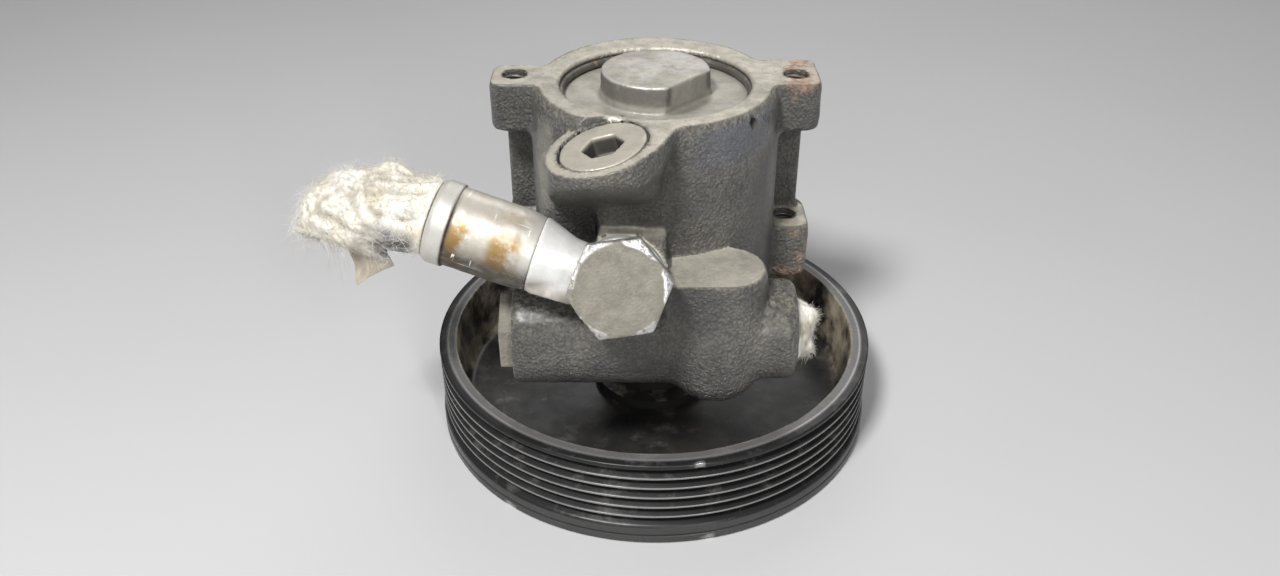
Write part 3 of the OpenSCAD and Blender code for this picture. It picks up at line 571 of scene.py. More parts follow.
class EffectShelf:
    """Builds each shared effect once, as a node group."""

    mask_only: dict[str, str] = {"Mask": "NodeSocketFloat"}
    rust_dark: Colour = (0.2, 0.105, 0.065)
    rust_pale: Colour = (0.48, 0.33, 0.24)

    def __init__(self) -> None:
        """Starts with no group built."""
        self.built: dict[Effect, bpy.types.NodeTree] = {}

    def use(self, graph: Graph, effect: Effect, **inputs: Value) -> bpy.types.Node:
        """Places an effect in a material.

        Args:
            graph: The material's nodes.
            effect: Which effect.
            **inputs: Values of the group's inputs, by name.

        Returns:
            The group's node.
        """
        if effect not in self.built:
            self.built[effect] = getattr(self, effect.value)()
        made = graph.node("ShaderNodeGroup", node_tree=self.built[effect])
        for name, value in inputs.items():
            graph.put(made.inputs[name.replace("_", " ").title()], value)
        return made

    @staticmethod
    def group(effect: Effect, inputs: dict[str, float], outputs: dict[str, str]) -> tuple[Graph, dict, dict]:
        """Makes an empty group with its sockets.

        Args:
            effect: Which effect it is for.
            inputs: Input names with their usual values.
            outputs: Output names with their socket kinds.

        Returns:
            The group's graph, its input sockets and its output sockets, by name.
        """
        tree = bpy.data.node_groups.new(effect.value, "ShaderNodeTree")
        for name, value in inputs.items():
            socket = tree.interface.new_socket(name, in_out="INPUT", socket_type="NodeSocketFloat")
            socket.default_value = value
        for name, kind in outputs.items():
            tree.interface.new_socket(name, in_out="OUTPUT", socket_type=kind)
        start = tree.nodes.new("NodeGroupInput")
        end = tree.nodes.new("NodeGroupOutput")
        ins = {name: start.outputs[name] for name in inputs}
        outs = {name: end.inputs[name] for name in outputs}
        return Graph(tree), ins, outs

    def cast_grain(self) -> bpy.types.NodeTree:
        """Builds the lumpy skin of a sand casting: a height and a mask of its hollows.

        Returns:
            The node group.
        """
        kinds = {"Height": "NodeSocketFloat", "Hollow": "NodeSocketFloat"}
        g, ins, outs = self.group(Effect.GRAIN, {"Scale": 700.0}, kinds)
        lumps = g.node(
            "ShaderNodeTexVoronoi",
            {"Vector": g.place(), "Scale": ins["Scale"], "Smoothness": 0.6},
            feature="SMOOTH_F1",
        ).outputs["Distance"]
        fine = g.noise(g.math("MULTIPLY", ins["Scale"], 1.7), 5.0, 0.65)
        broad = g.noise(g.math("MULTIPLY", ins["Scale"], 0.32), 3.0, 0.5)
        bumps = g.math("ADD", g.times(lumps, -0.55), g.times(fine, 0.75))
        g.put(outs["Height"], g.math("ADD", bumps, g.times(broad, 0.35)))
        g.put(outs["Hollow"], g.span(bumps, 0.3, -0.02))
        return g.tree

    def settled_dust(self) -> bpy.types.NodeTree:
        """Builds pale dust that lies on faces that look up.

        Returns:
            The node group.
        """
        g, ins, outs = self.group(Effect.DUST, {"Scale": 130.0, "Amount": 0.5}, self.mask_only)
        up = g.span(g.upward(), 0.25, 0.9)
        cloud = g.noise(ins["Scale"], 6.0, 0.65)
        cover = g.math("ADD", g.span(cloud, 0.3, 0.75, (-0.6, 0.4)), ins["Amount"])
        g.put(outs["Mask"], g.math("MULTIPLY", up, cover, clamp=True))
        return g.tree

    def edge_wear(self) -> bpy.types.NodeTree:
        """Builds a mask of rubbed outer edges.

        Returns:
            The node group.
        """
        g, ins, outs = self.group(Effect.WEAR, {"Scale": 400.0, "Amount": 0.5}, self.mask_only)
        sharp = g.node("ShaderNodeNewGeometry").outputs["Pointiness"]
        edge = g.span(sharp, 0.515, 0.58)
        broken = g.span(g.noise(ins["Scale"], 4.0, 0.6), 0.35, 0.65)
        g.put(outs["Mask"], g.times(edge, broken, ins["Amount"]))
        return g.tree

    def rust_bloom(self) -> bpy.types.NodeTree:
        """Builds patches of rust: a mask and its changing colour.

        Returns:
            The node group.
        """
        kinds = {"Mask": "NodeSocketFloat", "Tint": "NodeSocketColor"}
        g, ins, outs = self.group(Effect.RUST, {"Scale": 160.0, "Amount": 0.5}, kinds)
        cloud = g.noise(ins["Scale"], 8.0, 0.7)
        level = g.math("ADD", g.math("SUBTRACT", cloud, 0.75), g.times(ins["Amount"], 0.5))
        g.put(outs["Mask"], g.span(level, 0.0, 0.16))
        blend = g.noise(g.math("MULTIPLY", ins["Scale"], 3.0), 4.0, 0.6)
        g.put(outs["Tint"], g.mix(g.span(blend, 0.35, 0.65), self.rust_dark, self.rust_pale))
        return g.tree

    def oily_grime(self) -> bpy.types.NodeTree:
        """Builds dark wet patches that have run down.

        Returns:
            The node group.
        """
        g, ins, outs = self.group(Effect.GRIME, {"Scale": 45.0, "Amount": 0.5}, self.mask_only)
        runs = g.noise(ins["Scale"], 5.0, 0.6, g.place((1.0, 1.0, 0.45)))
        level = g.math("ADD", runs, g.times(ins["Amount"], 0.3))
        g.put(outs["Mask"], g.span(level, 0.52, 0.78))
        return g.tree

    def fine_scratches(self) -> bpy.types.NodeTree:
        """Builds thin broken scratches in two directions.

        Returns:
            The node group.
        """
        g, ins, outs = self.group(Effect.SCRATCH, {"Scale": 260.0, "Amount": 0.5}, self.mask_only)
        lines = []
        for stretch in ((1.0, 5.0, 0.16), (0.2, 1.0, 4.0)):
            streak = g.noise(ins["Scale"], 3.0, 0.5, g.place(stretch))
            lines.append(g.span(streak, 0.66, 0.72))
        patch = g.span(g.noise(g.math("MULTIPLY", ins["Scale"], 0.3), 2.0, 0.5), 0.4, 0.65)
        g.put(outs["Mask"], g.times(g.most(*lines), patch, ins["Amount"]))
        return g.tree


SHELF = EffectShelf()


# Finishes


@dataclass(frozen=True)
class Finish:
    """A plain worn metal or rubber finish."""

    name: str
    colour: Colour
    shade: Colour
    metallic: float = 0.0
    rough_low: float = 0.35
    rough_high: float = 0.6
    cloud_scale: float = 90.0
    grain_scale: float = 900.0
    grain_depth: float = 0.03
    dust: float = 0.0
    dust_scale: float = 130.0
    dust_colour: Colour = (0.4, 0.37, 0.3)
    wear: float = 0.0
    wear_colour: Colour = (0.6, 0.59, 0.57)
    rust: float = 0.0
    scratch: float = 0.0
    coat: float = 0.0

    def build(self) -> bpy.types.Material:
        """Builds the material.

        Returns:
            The new material.
        """
        material = bpy.data.materials.new(self.name)
        material.use_nodes = True
        graph = Graph(material.node_tree)
        shader = material.node_tree.nodes["Principled BSDF"]
        shader.inputs["Metallic"].default_value = self.metallic
        shader.inputs["Coat Weight"].default_value = self.coat
        self.dress(graph, shader)
        return material

    def dress(self, graph: Graph, shader: bpy.types.Node) -> None:
        """Joins the colours, roughness and bump to the shader.

        Args:
            graph: The material's nodes.
            shader: Its Principled BSDF.
        """
        colour, rough = self.layers(graph, *self.ground(graph, 5.0, 0.6))
        self.join(graph, shader, colour, rough, self.grain(graph).outputs["Height"])

    def grain(self, graph: Graph) -> bpy.types.Node:
        """Places the grain of the finish."""
        return SHELF.use(graph, Effect.GRAIN, scale=self.grain_scale)

    def cloud(self, graph: Graph, detail: float = 6.0, rough: float = 0.65) -> Socket:
        """Gives the large soft patches of the finish, between 0 and 1."""
        return graph.span(graph.noise(self.cloud_scale, detail, rough), 0.3, 0.7)

    def ground(self, graph: Graph, detail: float = 6.0, rough: float = 0.65) -> tuple[Socket, Socket]:
        """Clouds the two colours of the finish.

        Args:
            graph: The material's nodes.
            detail: Layers of the clouds.
            rough: How strong the finer layers are.

        Returns:
            The clouded colour and its roughness.
        """
        cloud = self.cloud(graph, detail, rough)
        colour = graph.mix(cloud, self.colour, self.shade)
        return colour, graph.span(cloud, 0.0, 1.0, (self.rough_low, self.rough_high))

    def layers(self, graph: Graph, colour: Socket, rough: Socket) -> tuple[Socket, Socket]:
        """Lays scratches, wear, rust and dust over a colour.

        Args:
            graph: The material's nodes.
            colour: Colour underneath.
            rough: Roughness underneath.

        Returns:
            The colour and the roughness on top.
        """
        if self.scratch:
            marks = SHELF.use(graph, Effect.SCRATCH, amount=self.scratch).outputs["Mask"]
            colour = graph.mix(marks, colour, self.wear_colour)
        if self.wear:
            rubbed = SHELF.use(graph, Effect.WEAR, amount=self.wear).outputs["Mask"]
            colour = graph.mix(rubbed, colour, self.wear_colour)
            rough = graph.math("SUBTRACT", rough, graph.times(rubbed, 0.15))
        if self.rust:
            bloom = SHELF.use(graph, Effect.RUST, amount=self.rust)
            colour = graph.mix(bloom.outputs["Mask"], colour, bloom.outputs["Tint"])
        if self.dust:
            film = SHELF.use(graph, Effect.DUST, scale=self.dust_scale, amount=self.dust).outputs["Mask"]
            colour = graph.mix(film, colour, self.dust_colour)
            rough = graph.math("MAXIMUM", rough, graph.times(film, 0.8))
        return colour, rough

    def join(
        self, graph: Graph, shader: bpy.types.Node, colour: Socket, rough: Socket, height: Socket
    ) -> None:
        """Joins the results to the shader.

        Args:
            graph: The material's nodes.
            shader: Its Principled BSDF.
            colour: The colour on top.
            rough: The roughness on top.
            height: The height of the skin, which the grain's depth scales.
        """
        graph.put(shader.inputs["Base Color"], colour)
        graph.put(shader.inputs["Roughness"], rough)
        sizes = {"Height": height, "Distance": self.grain_depth * MM, "Strength": 1.0}
        graph.put(shader.inputs["Normal"], graph.node("ShaderNodeBump", sizes).outputs[0])


@dataclass(frozen=True)
class CastFinish(Finish):
    """Oily cast iron with machined faces, rust, a painted bluish highlight and painted shade, all painted on
    the mesh.
    """

    machined_colour: Colour = (0.5, 0.47, 0.395)
    machined_shade: Colour = (0.36, 0.337, 0.283)
    # Dark oil, also used for the patina in the grain's hollows and for painted shade.
    oil_and_shade_colour: Colour = (0.03, 0.028, 0.026)
    painted_highlight_colour: Colour = (0.15, 0.17, 0.23)
    coat_rough: float = 0.3

    def dress(self, graph: Graph, shader: bpy.types.Node) -> None:
        """Joins the cast skin, the machined faces and what lies on them to the shader.

        Args:
            graph: The material's nodes.
            shader: Its Principled BSDF.
        """
        shader.inputs["Coat Roughness"].default_value = self.coat_rough
        grain = self.grain(graph)
        skin = graph.mix(self.cloud(graph), self.colour, self.shade)
        skin = graph.mix(graph.times(grain.outputs["Hollow"], 0.5), skin, self.oil_and_shade_colour)
        grime = SHELF.use(graph, Effect.GRIME, amount=0.35).outputs["Mask"]
        skin = graph.mix(graph.times(grime, 0.3), skin, self.oil_and_shade_colour)
        rough = graph.span(grime, 0.0, 1.0, (self.rough_high, self.rough_low))
        skin, rough = self.layers(graph, skin, rough)
        # A painted bluish highlight on the right shoulder; it also lowers the roughness there.
        sheen = graph.painted("sheen")
        skin = graph.mix(graph.times(sheen, 0.35), skin, self.painted_highlight_colour)
        rough = graph.math("SUBTRACT", rough, graph.times(sheen, 0.2))

        # Machined faces, with the painted highlight of the bright strip.
        flat = graph.painted("machined")
        worn = graph.span(graph.noise(260.0, 6.0, 0.65), 0.32, 0.68)
        face = graph.mix(worn, self.machined_colour, self.machined_shade)
        spots = graph.span(graph.noise(900.0, 3.0, 0.6), 0.62, 0.7)
        face = graph.mix(graph.times(spots, 0.45), face, self.shade)
        smear = graph.span(graph.noise(55.0, 5.0, 0.6), 0.5, 0.68)
        face = graph.mix(graph.times(smear, 0.4), face, self.shade)
        colour = graph.mix(flat, skin, face)

        patches = graph.painted("rust")
        bloom = SHELF.use(graph, Effect.RUST, amount=graph.math("ADD", graph.times(patches, 1.1), 0.05))
        colour = graph.mix(graph.times(bloom.outputs["Mask"], 0.85), colour, bloom.outputs["Tint"])
        # Painted shade, with oil, in the bore below the top, in the small holes, on the flank left of the
        # column and towards the bottom; it also lowers the roughness.
        oil_shade_mask = graph.painted("oil_and_shade")
        colour = graph.mix(graph.times(oil_shade_mask, 0.8), colour, self.oil_and_shade_colour)
        rough = graph.mix(flat, rough, graph.span(worn, 0.0, 1.0, (0.42, 0.62)))
        rough = graph.math("SUBTRACT", rough, graph.times(oil_shade_mask, 0.2))
        graph.put(shader.inputs["Metallic"], graph.span(flat, 0.0, 1.0, (0.15, 0.45)))
        graph.put(shader.inputs["Coat Weight"], graph.span(flat, 0.0, 1.0, (self.coat, 0.0)))
        lumpy = graph.span(flat, 0.0, 1.0, (1.0, 0.12))
        self.join(graph, shader, colour, rough, graph.times(grain.outputs["Height"], lumpy))


@dataclass(frozen=True)
class BareFinish(Finish):
    """A dusty steel face with bare metal and painted shade where the mesh says so."""

    bare_colour: Colour = (0.72, 0.71, 0.7)
    bare_rough: Colour = (0.3, 0.3, 0.3)
    painted_shade_colour: Colour = (0.035, 0.032, 0.028)

    def dress(self, graph: Graph, shader: bpy.types.Node) -> None:
        """Joins the dusty and the bare places to the shader.

        Args:
            graph: The material's nodes.
            shader: Its Principled BSDF.
        """
        colour, rough = self.layers(graph, *self.ground(graph))
        ragged = graph.span(graph.noise(500.0, 5.0, 0.7), 0.35, 0.5)
        bare = graph.math("MULTIPLY", graph.painted("bare"), ragged, clamp=True)
        colour = graph.mix(bare, colour, self.bare_colour)
        # Painted shade: under the bolt's head, inside the plugs' sockets, and on the cover's boss and edge.
        colour = graph.mix(graph.times(graph.painted("dark"), 0.9), colour, self.painted_shade_colour)
        graph.put(shader.inputs["Metallic"], graph.span(bare, 0.0, 1.0, (self.metallic, 0.95)))
        rough = graph.mix(bare, rough, self.bare_rough)
        self.join(graph, shader, colour, rough, self.grain(graph).outputs["Height"])


@dataclass(frozen=True)
class PlatedFinish(Finish):
    """Yellowed zinc plating with amber and brown stains, painted shade on its underside and bright scratches.
    """

    amber: Colour = (0.29, 0.18, 0.058)
    brown_stain_and_shade: Colour = (0.04, 0.032, 0.021)

    def dress(self, graph: Graph, shader: bpy.types.Node) -> None:
        """Joins plating, stains and scratches to the shader.

        Args:
            graph: The material's nodes.
            shader: Its Principled BSDF.
        """
        colour, rough = self.ground(graph, 4.0, 0.6)
        patch = graph.span(graph.noise(190.0, 6.0, 0.65), 0.3, 0.55)
        amber = graph.math("MULTIPLY", graph.painted("amber"), patch, clamp=True)
        colour = graph.mix(amber, colour, self.amber)
        flecks = graph.span(graph.noise(420.0, 7.0, 0.7, graph.place((1.0, 1.0, 0.6))), 0.36, 0.58)
        specks = graph.span(graph.noise(700.0, 4.0, 0.6), 0.68, 0.74)
        # Brown stains by the collar and painted shade on the underside, broken by flecks.
        stain_and_shade_mask = graph.times(graph.painted("brown_stain_and_shade"), graph.span(flecks, 0.0, 1.0, (0.85, 1.0)))
        dark = graph.most(stain_and_shade_mask, graph.times(specks, 0.3))
        colour = graph.mix(dark, colour, self.brown_stain_and_shade)
        colour, rough = self.layers(graph, colour, rough)
        rough = graph.most(rough, graph.times(amber, 0.5), graph.times(dark, 0.62))
        graph.put(shader.inputs["Metallic"], graph.span(dark, 0.0, 1.0, (self.metallic, 0.1)))
        self.join(graph, shader, colour, rough, self.grain(graph).outputs["Height"])


@dataclass(frozen=True)
class PulleyFinish(Finish):
    """Black paint with polished groove crests and chips, painted highlights and reflection on the crests, low
    band and lip, and brown dirt inside the dish.
    """

    polish_and_highlight: Colour = (0.42, 0.41, 0.4)
    dirt: Colour = (0.3, 0.255, 0.19)
    gloss: float = 0.28

    def dress(self, graph: Graph, shader: bpy.types.Node) -> None:
        """Joins paint, polish and dirt to the shader.

        Args:
            graph: The material's nodes.
            shader: Its Principled BSDF.
        """
        shader.inputs["Specular IOR Level"].default_value = self.gloss
        colour, rough = self.layers(graph, *self.ground(graph))
        smears = graph.span(graph.noise(70.0, 7.0, 0.7), 0.36, 0.66)
        muddy = graph.times(graph.painted("dirt"), smears)
        colour = graph.mix(muddy, colour, self.dirt)
        rough = graph.math("MAXIMUM", rough, graph.times(muddy, 0.75))
        # Polish on the crests and chips, with painted highlights and reflection on the crests, the low band
        # and the lip.
        bright = graph.painted("polish_and_highlight")
        colour = graph.mix(bright, colour, self.polish_and_highlight)
        rough = graph.math("SUBTRACT", rough, graph.times(bright, 0.1))
        graph.put(shader.inputs["Metallic"], graph.span(bright, 0.0, 1.0, (self.metallic, 0.9)))
        self.join(graph, shader, colour, rough, self.grain(graph).outputs["Height"])


@dataclass(frozen=True)
class ClothFinish(Finish):
    """Off-white teased cotton with painted grey-brown shade in its creases and on its loose corner, brown
    tint, painted dark shade with some soil on its underside, and yellowed places.
    """

    crease_shade_and_tint: Colour = (0.2, 0.165, 0.115)
    shade_and_soil: Colour = (0.04, 0.039, 0.042)
    yellow: Colour = (0.62, 0.565, 0.45)
    sheen: float = 0.3
    sheen_rough: float = 0.6

    def dress(self, graph: Graph, shader: bpy.types.Node) -> None:
        """Joins the cotton's colours and fibres to the shader.

        Args:
            graph: The material's nodes.
            shader: Its Principled BSDF.
        """
        threads = graph.noise(900.0, 6.0, 0.7, graph.place((1.0, 0.35, 0.35)))
        cloud = graph.span(graph.noise(self.cloud_scale, 5.0, 0.6), 0.35, 0.7)
        colour = graph.mix(cloud, self.colour, self.yellow)
        # Painted shade in the creases and on the loose corner, and brown tint on the upper side and the
        # fibres.
        colour = graph.mix(graph.times(graph.painted("crease_shade_and_tint"), 0.9), colour, self.crease_shade_and_tint)
        # Painted shade, with some soil, on the underside.
        colour = graph.mix(graph.times(graph.painted("shade_and_soil"), 0.9), colour, self.shade_and_soil)
        colour = graph.mix(graph.span(threads, 0.6, 0.3, (0.0, 0.35)), colour, self.shade)
        shader.inputs["Sheen Weight"].default_value = self.sheen
        shader.inputs["Sheen Roughness"].default_value = self.sheen_rough
        self.join(graph, shader, colour, graph.span(threads, 0.2, 0.8, (0.85, 1.0)), threads)


CAST_IRON = CastFinish(
    "cast_housing", (0.187, 0.175, 0.153), (0.1, 0.097, 0.092), 0.2, 0.28, 0.45,
    cloud_scale=70.0, grain_scale=1050.0, grain_depth=1.4, dust=0.4, dust_scale=750.0,
    dust_colour=(0.33, 0.305, 0.245), coat=0.32,
)
COVER_STEEL = BareFinish(
    "cover_metal", (0.36, 0.345, 0.305), (0.25, 0.238, 0.205), 0.35, 0.45, 0.62,
    cloud_scale=150.0, grain_scale=900.0, grain_depth=0.1, dust=0.3, wear=0.5, scratch=0.2,
)
PLUG_STEEL = BareFinish(
    "plug_steel", (0.42, 0.395, 0.33), (0.3, 0.28, 0.235), 0.35, 0.42, 0.6,
    cloud_scale=190.0, grain_scale=1100.0, grain_depth=0.05, dust=0.3, wear=0.6, scratch=0.3,
)
BOLT_STEEL = BareFinish(
    "bolt_steel", (0.205, 0.19, 0.155), (0.15, 0.139, 0.114), 0.15, 0.6, 0.78,
    cloud_scale=260.0, grain_scale=1300.0, grain_depth=0.3, dust=0.1, wear=0.4, scratch=0.1,
)
ZINC = PlatedFinish(
    "fitting_zinc", (0.8, 0.8, 0.785), (0.66, 0.655, 0.635), 0.4, 0.3, 0.45,
    cloud_scale=160.0, grain_scale=900.0, grain_depth=0.05, scratch=0.5, wear_colour=(0.9, 0.9, 0.89),
)
YELLOW_ZINC = PlatedFinish(
    "sleeve_zinc", (0.58, 0.567, 0.525), (0.48, 0.463, 0.415), 0.5, 0.36, 0.5,
    cloud_scale=110.0, grain_scale=1000.0, grain_depth=0.03, scratch=0.9, wear_colour=(0.92, 0.91, 0.88),
)
PULLEY_BLACK = PulleyFinish(
    "pulley_black", (0.016, 0.016, 0.0165), (0.01, 0.01, 0.01), 0.0, 0.26, 0.4,
    cloud_scale=55.0, grain_scale=1300.0, grain_depth=0.012, dust=0.03, dust_colour=(0.12, 0.115, 0.105),
    scratch=0.12, wear_colour=(0.2, 0.2, 0.195),
)
COTTON = ClothFinish(
    "rag_cloth", (0.74, 0.725, 0.675), (0.54, 0.495, 0.41), cloud_scale=120.0, grain_depth=0.5,
)
PLAIN_FINISHES = (
    Finish("seal_rubber", (0.03, 0.03, 0.03), (0.018, 0.018, 0.019), 0.0, 0.5, 0.7, dust=0.2),
    Finish("wire_steel", (0.14, 0.13, 0.115), (0.08, 0.072, 0.06), 0.5, 0.4, 0.6, rust=0.3, dust=0.2),
    Finish("spring_steel", (0.3, 0.3, 0.32), (0.2, 0.2, 0.21), 0.9, 0.3, 0.45, scratch=0.3),
    Finish("ground_steel", (0.55, 0.55, 0.54), (0.42, 0.41, 0.4), 0.95, 0.2, 0.35, scratch=0.5, wear=0.4),
    Finish("bush_bronze", (0.5, 0.33, 0.14), (0.36, 0.22, 0.09), 0.9, 0.3, 0.5, scratch=0.4),
    Finish("bearing_steel", (0.62, 0.62, 0.61), (0.5, 0.5, 0.49), 0.95, 0.15, 0.3, scratch=0.3),
    Finish("cage_brass", (0.55, 0.4, 0.16), (0.4, 0.28, 0.1), 0.9, 0.3, 0.45, scratch=0.3),
    Finish("washer_copper", (0.5, 0.28, 0.16), (0.3, 0.17, 0.1), 0.85, 0.35, 0.5, wear=0.5, dust=0.2),
    Finish("hose_rubber", (0.028, 0.028, 0.028), (0.016, 0.016, 0.016), 0.0, 0.55, 0.75, dust=0.2),
    # The hub's near-black colour is painted shade, as it sits under the valve boss.
    Finish("hub_steel", (0.035, 0.034, 0.032), (0.02, 0.019, 0.018), 0.4, 0.45, 0.6, rust=0.2, dust=0.06),
)


class Paintbox:
    """Builds each finish once and hands out its material by slot."""

    def __init__(self) -> None:
        """Builds every material."""
        special = (CAST_IRON, COVER_STEEL, PLUG_STEEL, BOLT_STEEL, ZINC, YELLOW_ZINC, PULLEY_BLACK, COTTON)
        self.materials = {finish.name: finish.build() for finish in special + PLAIN_FINISHES}

    def dress_solid(self, piece: bpy.types.Object, slot: str) -> None:
        """Gives a solid the material of a slot, in the slots that it has.

        Args:
            piece: The solid.
            slot: The record's material slot.
        """
        for place in piece.material_slots:
            place.link = "OBJECT"
            place.material = self.materials[slot]

    def seat(self, piece: bpy.types.Object, slot: str, body: str, *nodes: str) -> None:
        """Dresses a new piece and ties it to its body.

        Args:
            piece: The piece.
            slot: The record's material slot.
            body: The body that it moves with.
            *nodes: Solids that it stands for.
        """
        piece.data.materials.append(self.materials[slot])
        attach(piece, body)
        if nodes:
            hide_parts(*nodes)
        LOG.info("%s: %d points, slot %s", piece.name, len(piece.data.vertices), slot)


# Machined faces that stay flat while the casting round them is rounded


@dataclass(frozen=True)
class FlatFace:
    """A machined flat, in millimetres."""

    centre: Point
    normal: Point
    reach: float
    band: float = 0.4

    def offset(self, rows: np.ndarray) -> np.ndarray:
        """Gives each point's height over the flat."""
        return (rows - np.array(self.centre)) @ np.array(self.normal)

    def near(self, rows: np.ndarray) -> np.ndarray:
        """Tells which points lie on the flat.

        Args:
            rows: Points, in millimetres.

        Returns:
            True for each point on it.
        """
        height = self.offset(rows)
        across = rows - np.array(self.centre) - height[:, None] * np.array(self.normal)
        return (np.abs(height) < self.band) & (np.linalg.norm(across, axis=1) < self.reach)

    def hold(self, rows: np.ndarray, which: np.ndarray) -> None:
        """Puts chosen points back on the flat."""
        rows[which] -= self.offset(rows[which])[:, None] * np.array(self.normal)


@dataclass(frozen=True)
class Bore:
    """A bored hole, in millimetres."""

    centre: Point
    axis: Point
    radius: float
    reach: float
    band: float = 0.45

    def parts(self, rows: np.ndarray) -> tuple[np.ndarray, np.ndarray]:
        """Gives each point's place along the axis and its offset across it.

        Args:
            rows: Points, in millimetres.

        Returns:
            The two, for each point.
        """
        away = rows - np.array(self.centre)
        along = away @ np.array(self.axis)
        return along, away - along[:, None] * np.array(self.axis)

    def near(self, rows: np.ndarray) -> np.ndarray:
        """Tells which points lie on the bore's wall.

        Args:
            rows: Points, in millimetres.

        Returns:
            True for each point on it.
        """
        along, across = self.parts(rows)
        wall = np.abs(np.linalg.norm(across, axis=1) - self.radius)
        return (wall < self.band) & (np.abs(along) < self.reach)

    def hold(self, rows: np.ndarray, which: np.ndarray) -> None:
        """Puts chosen points back on the bore's wall.

        Args:
            rows: Points, in millimetres, moved in place.
            which: Numbers of the points.
        """
        _, across = self.parts(rows[which])
        size = np.maximum(np.linalg.norm(across, axis=1), 1e-9)[:, None]
        rows[which] += across / size * self.radius - across


@dataclass(frozen=True)
class Zone:
    """A soft box: for each axis, pairs of where a side starts and where it is full, in millimetres."""

    x: Sides = ()
    y: Sides = ()
    z: Sides = ()

    def share(self, rows: np.ndarray) -> np.ndarray:
        """Tells how far points lie inside the box.

        Args:
            rows: Points, in millimetres.

        Returns:
            One number for each point, from 0 to 1.
        """
        inside = np.ones(len(rows))
        for values, sides in zip(rows.T, (self.x, self.y, self.z)):
            for start, full in sides:
                inside = inside * step(values, start, full)
        return inside


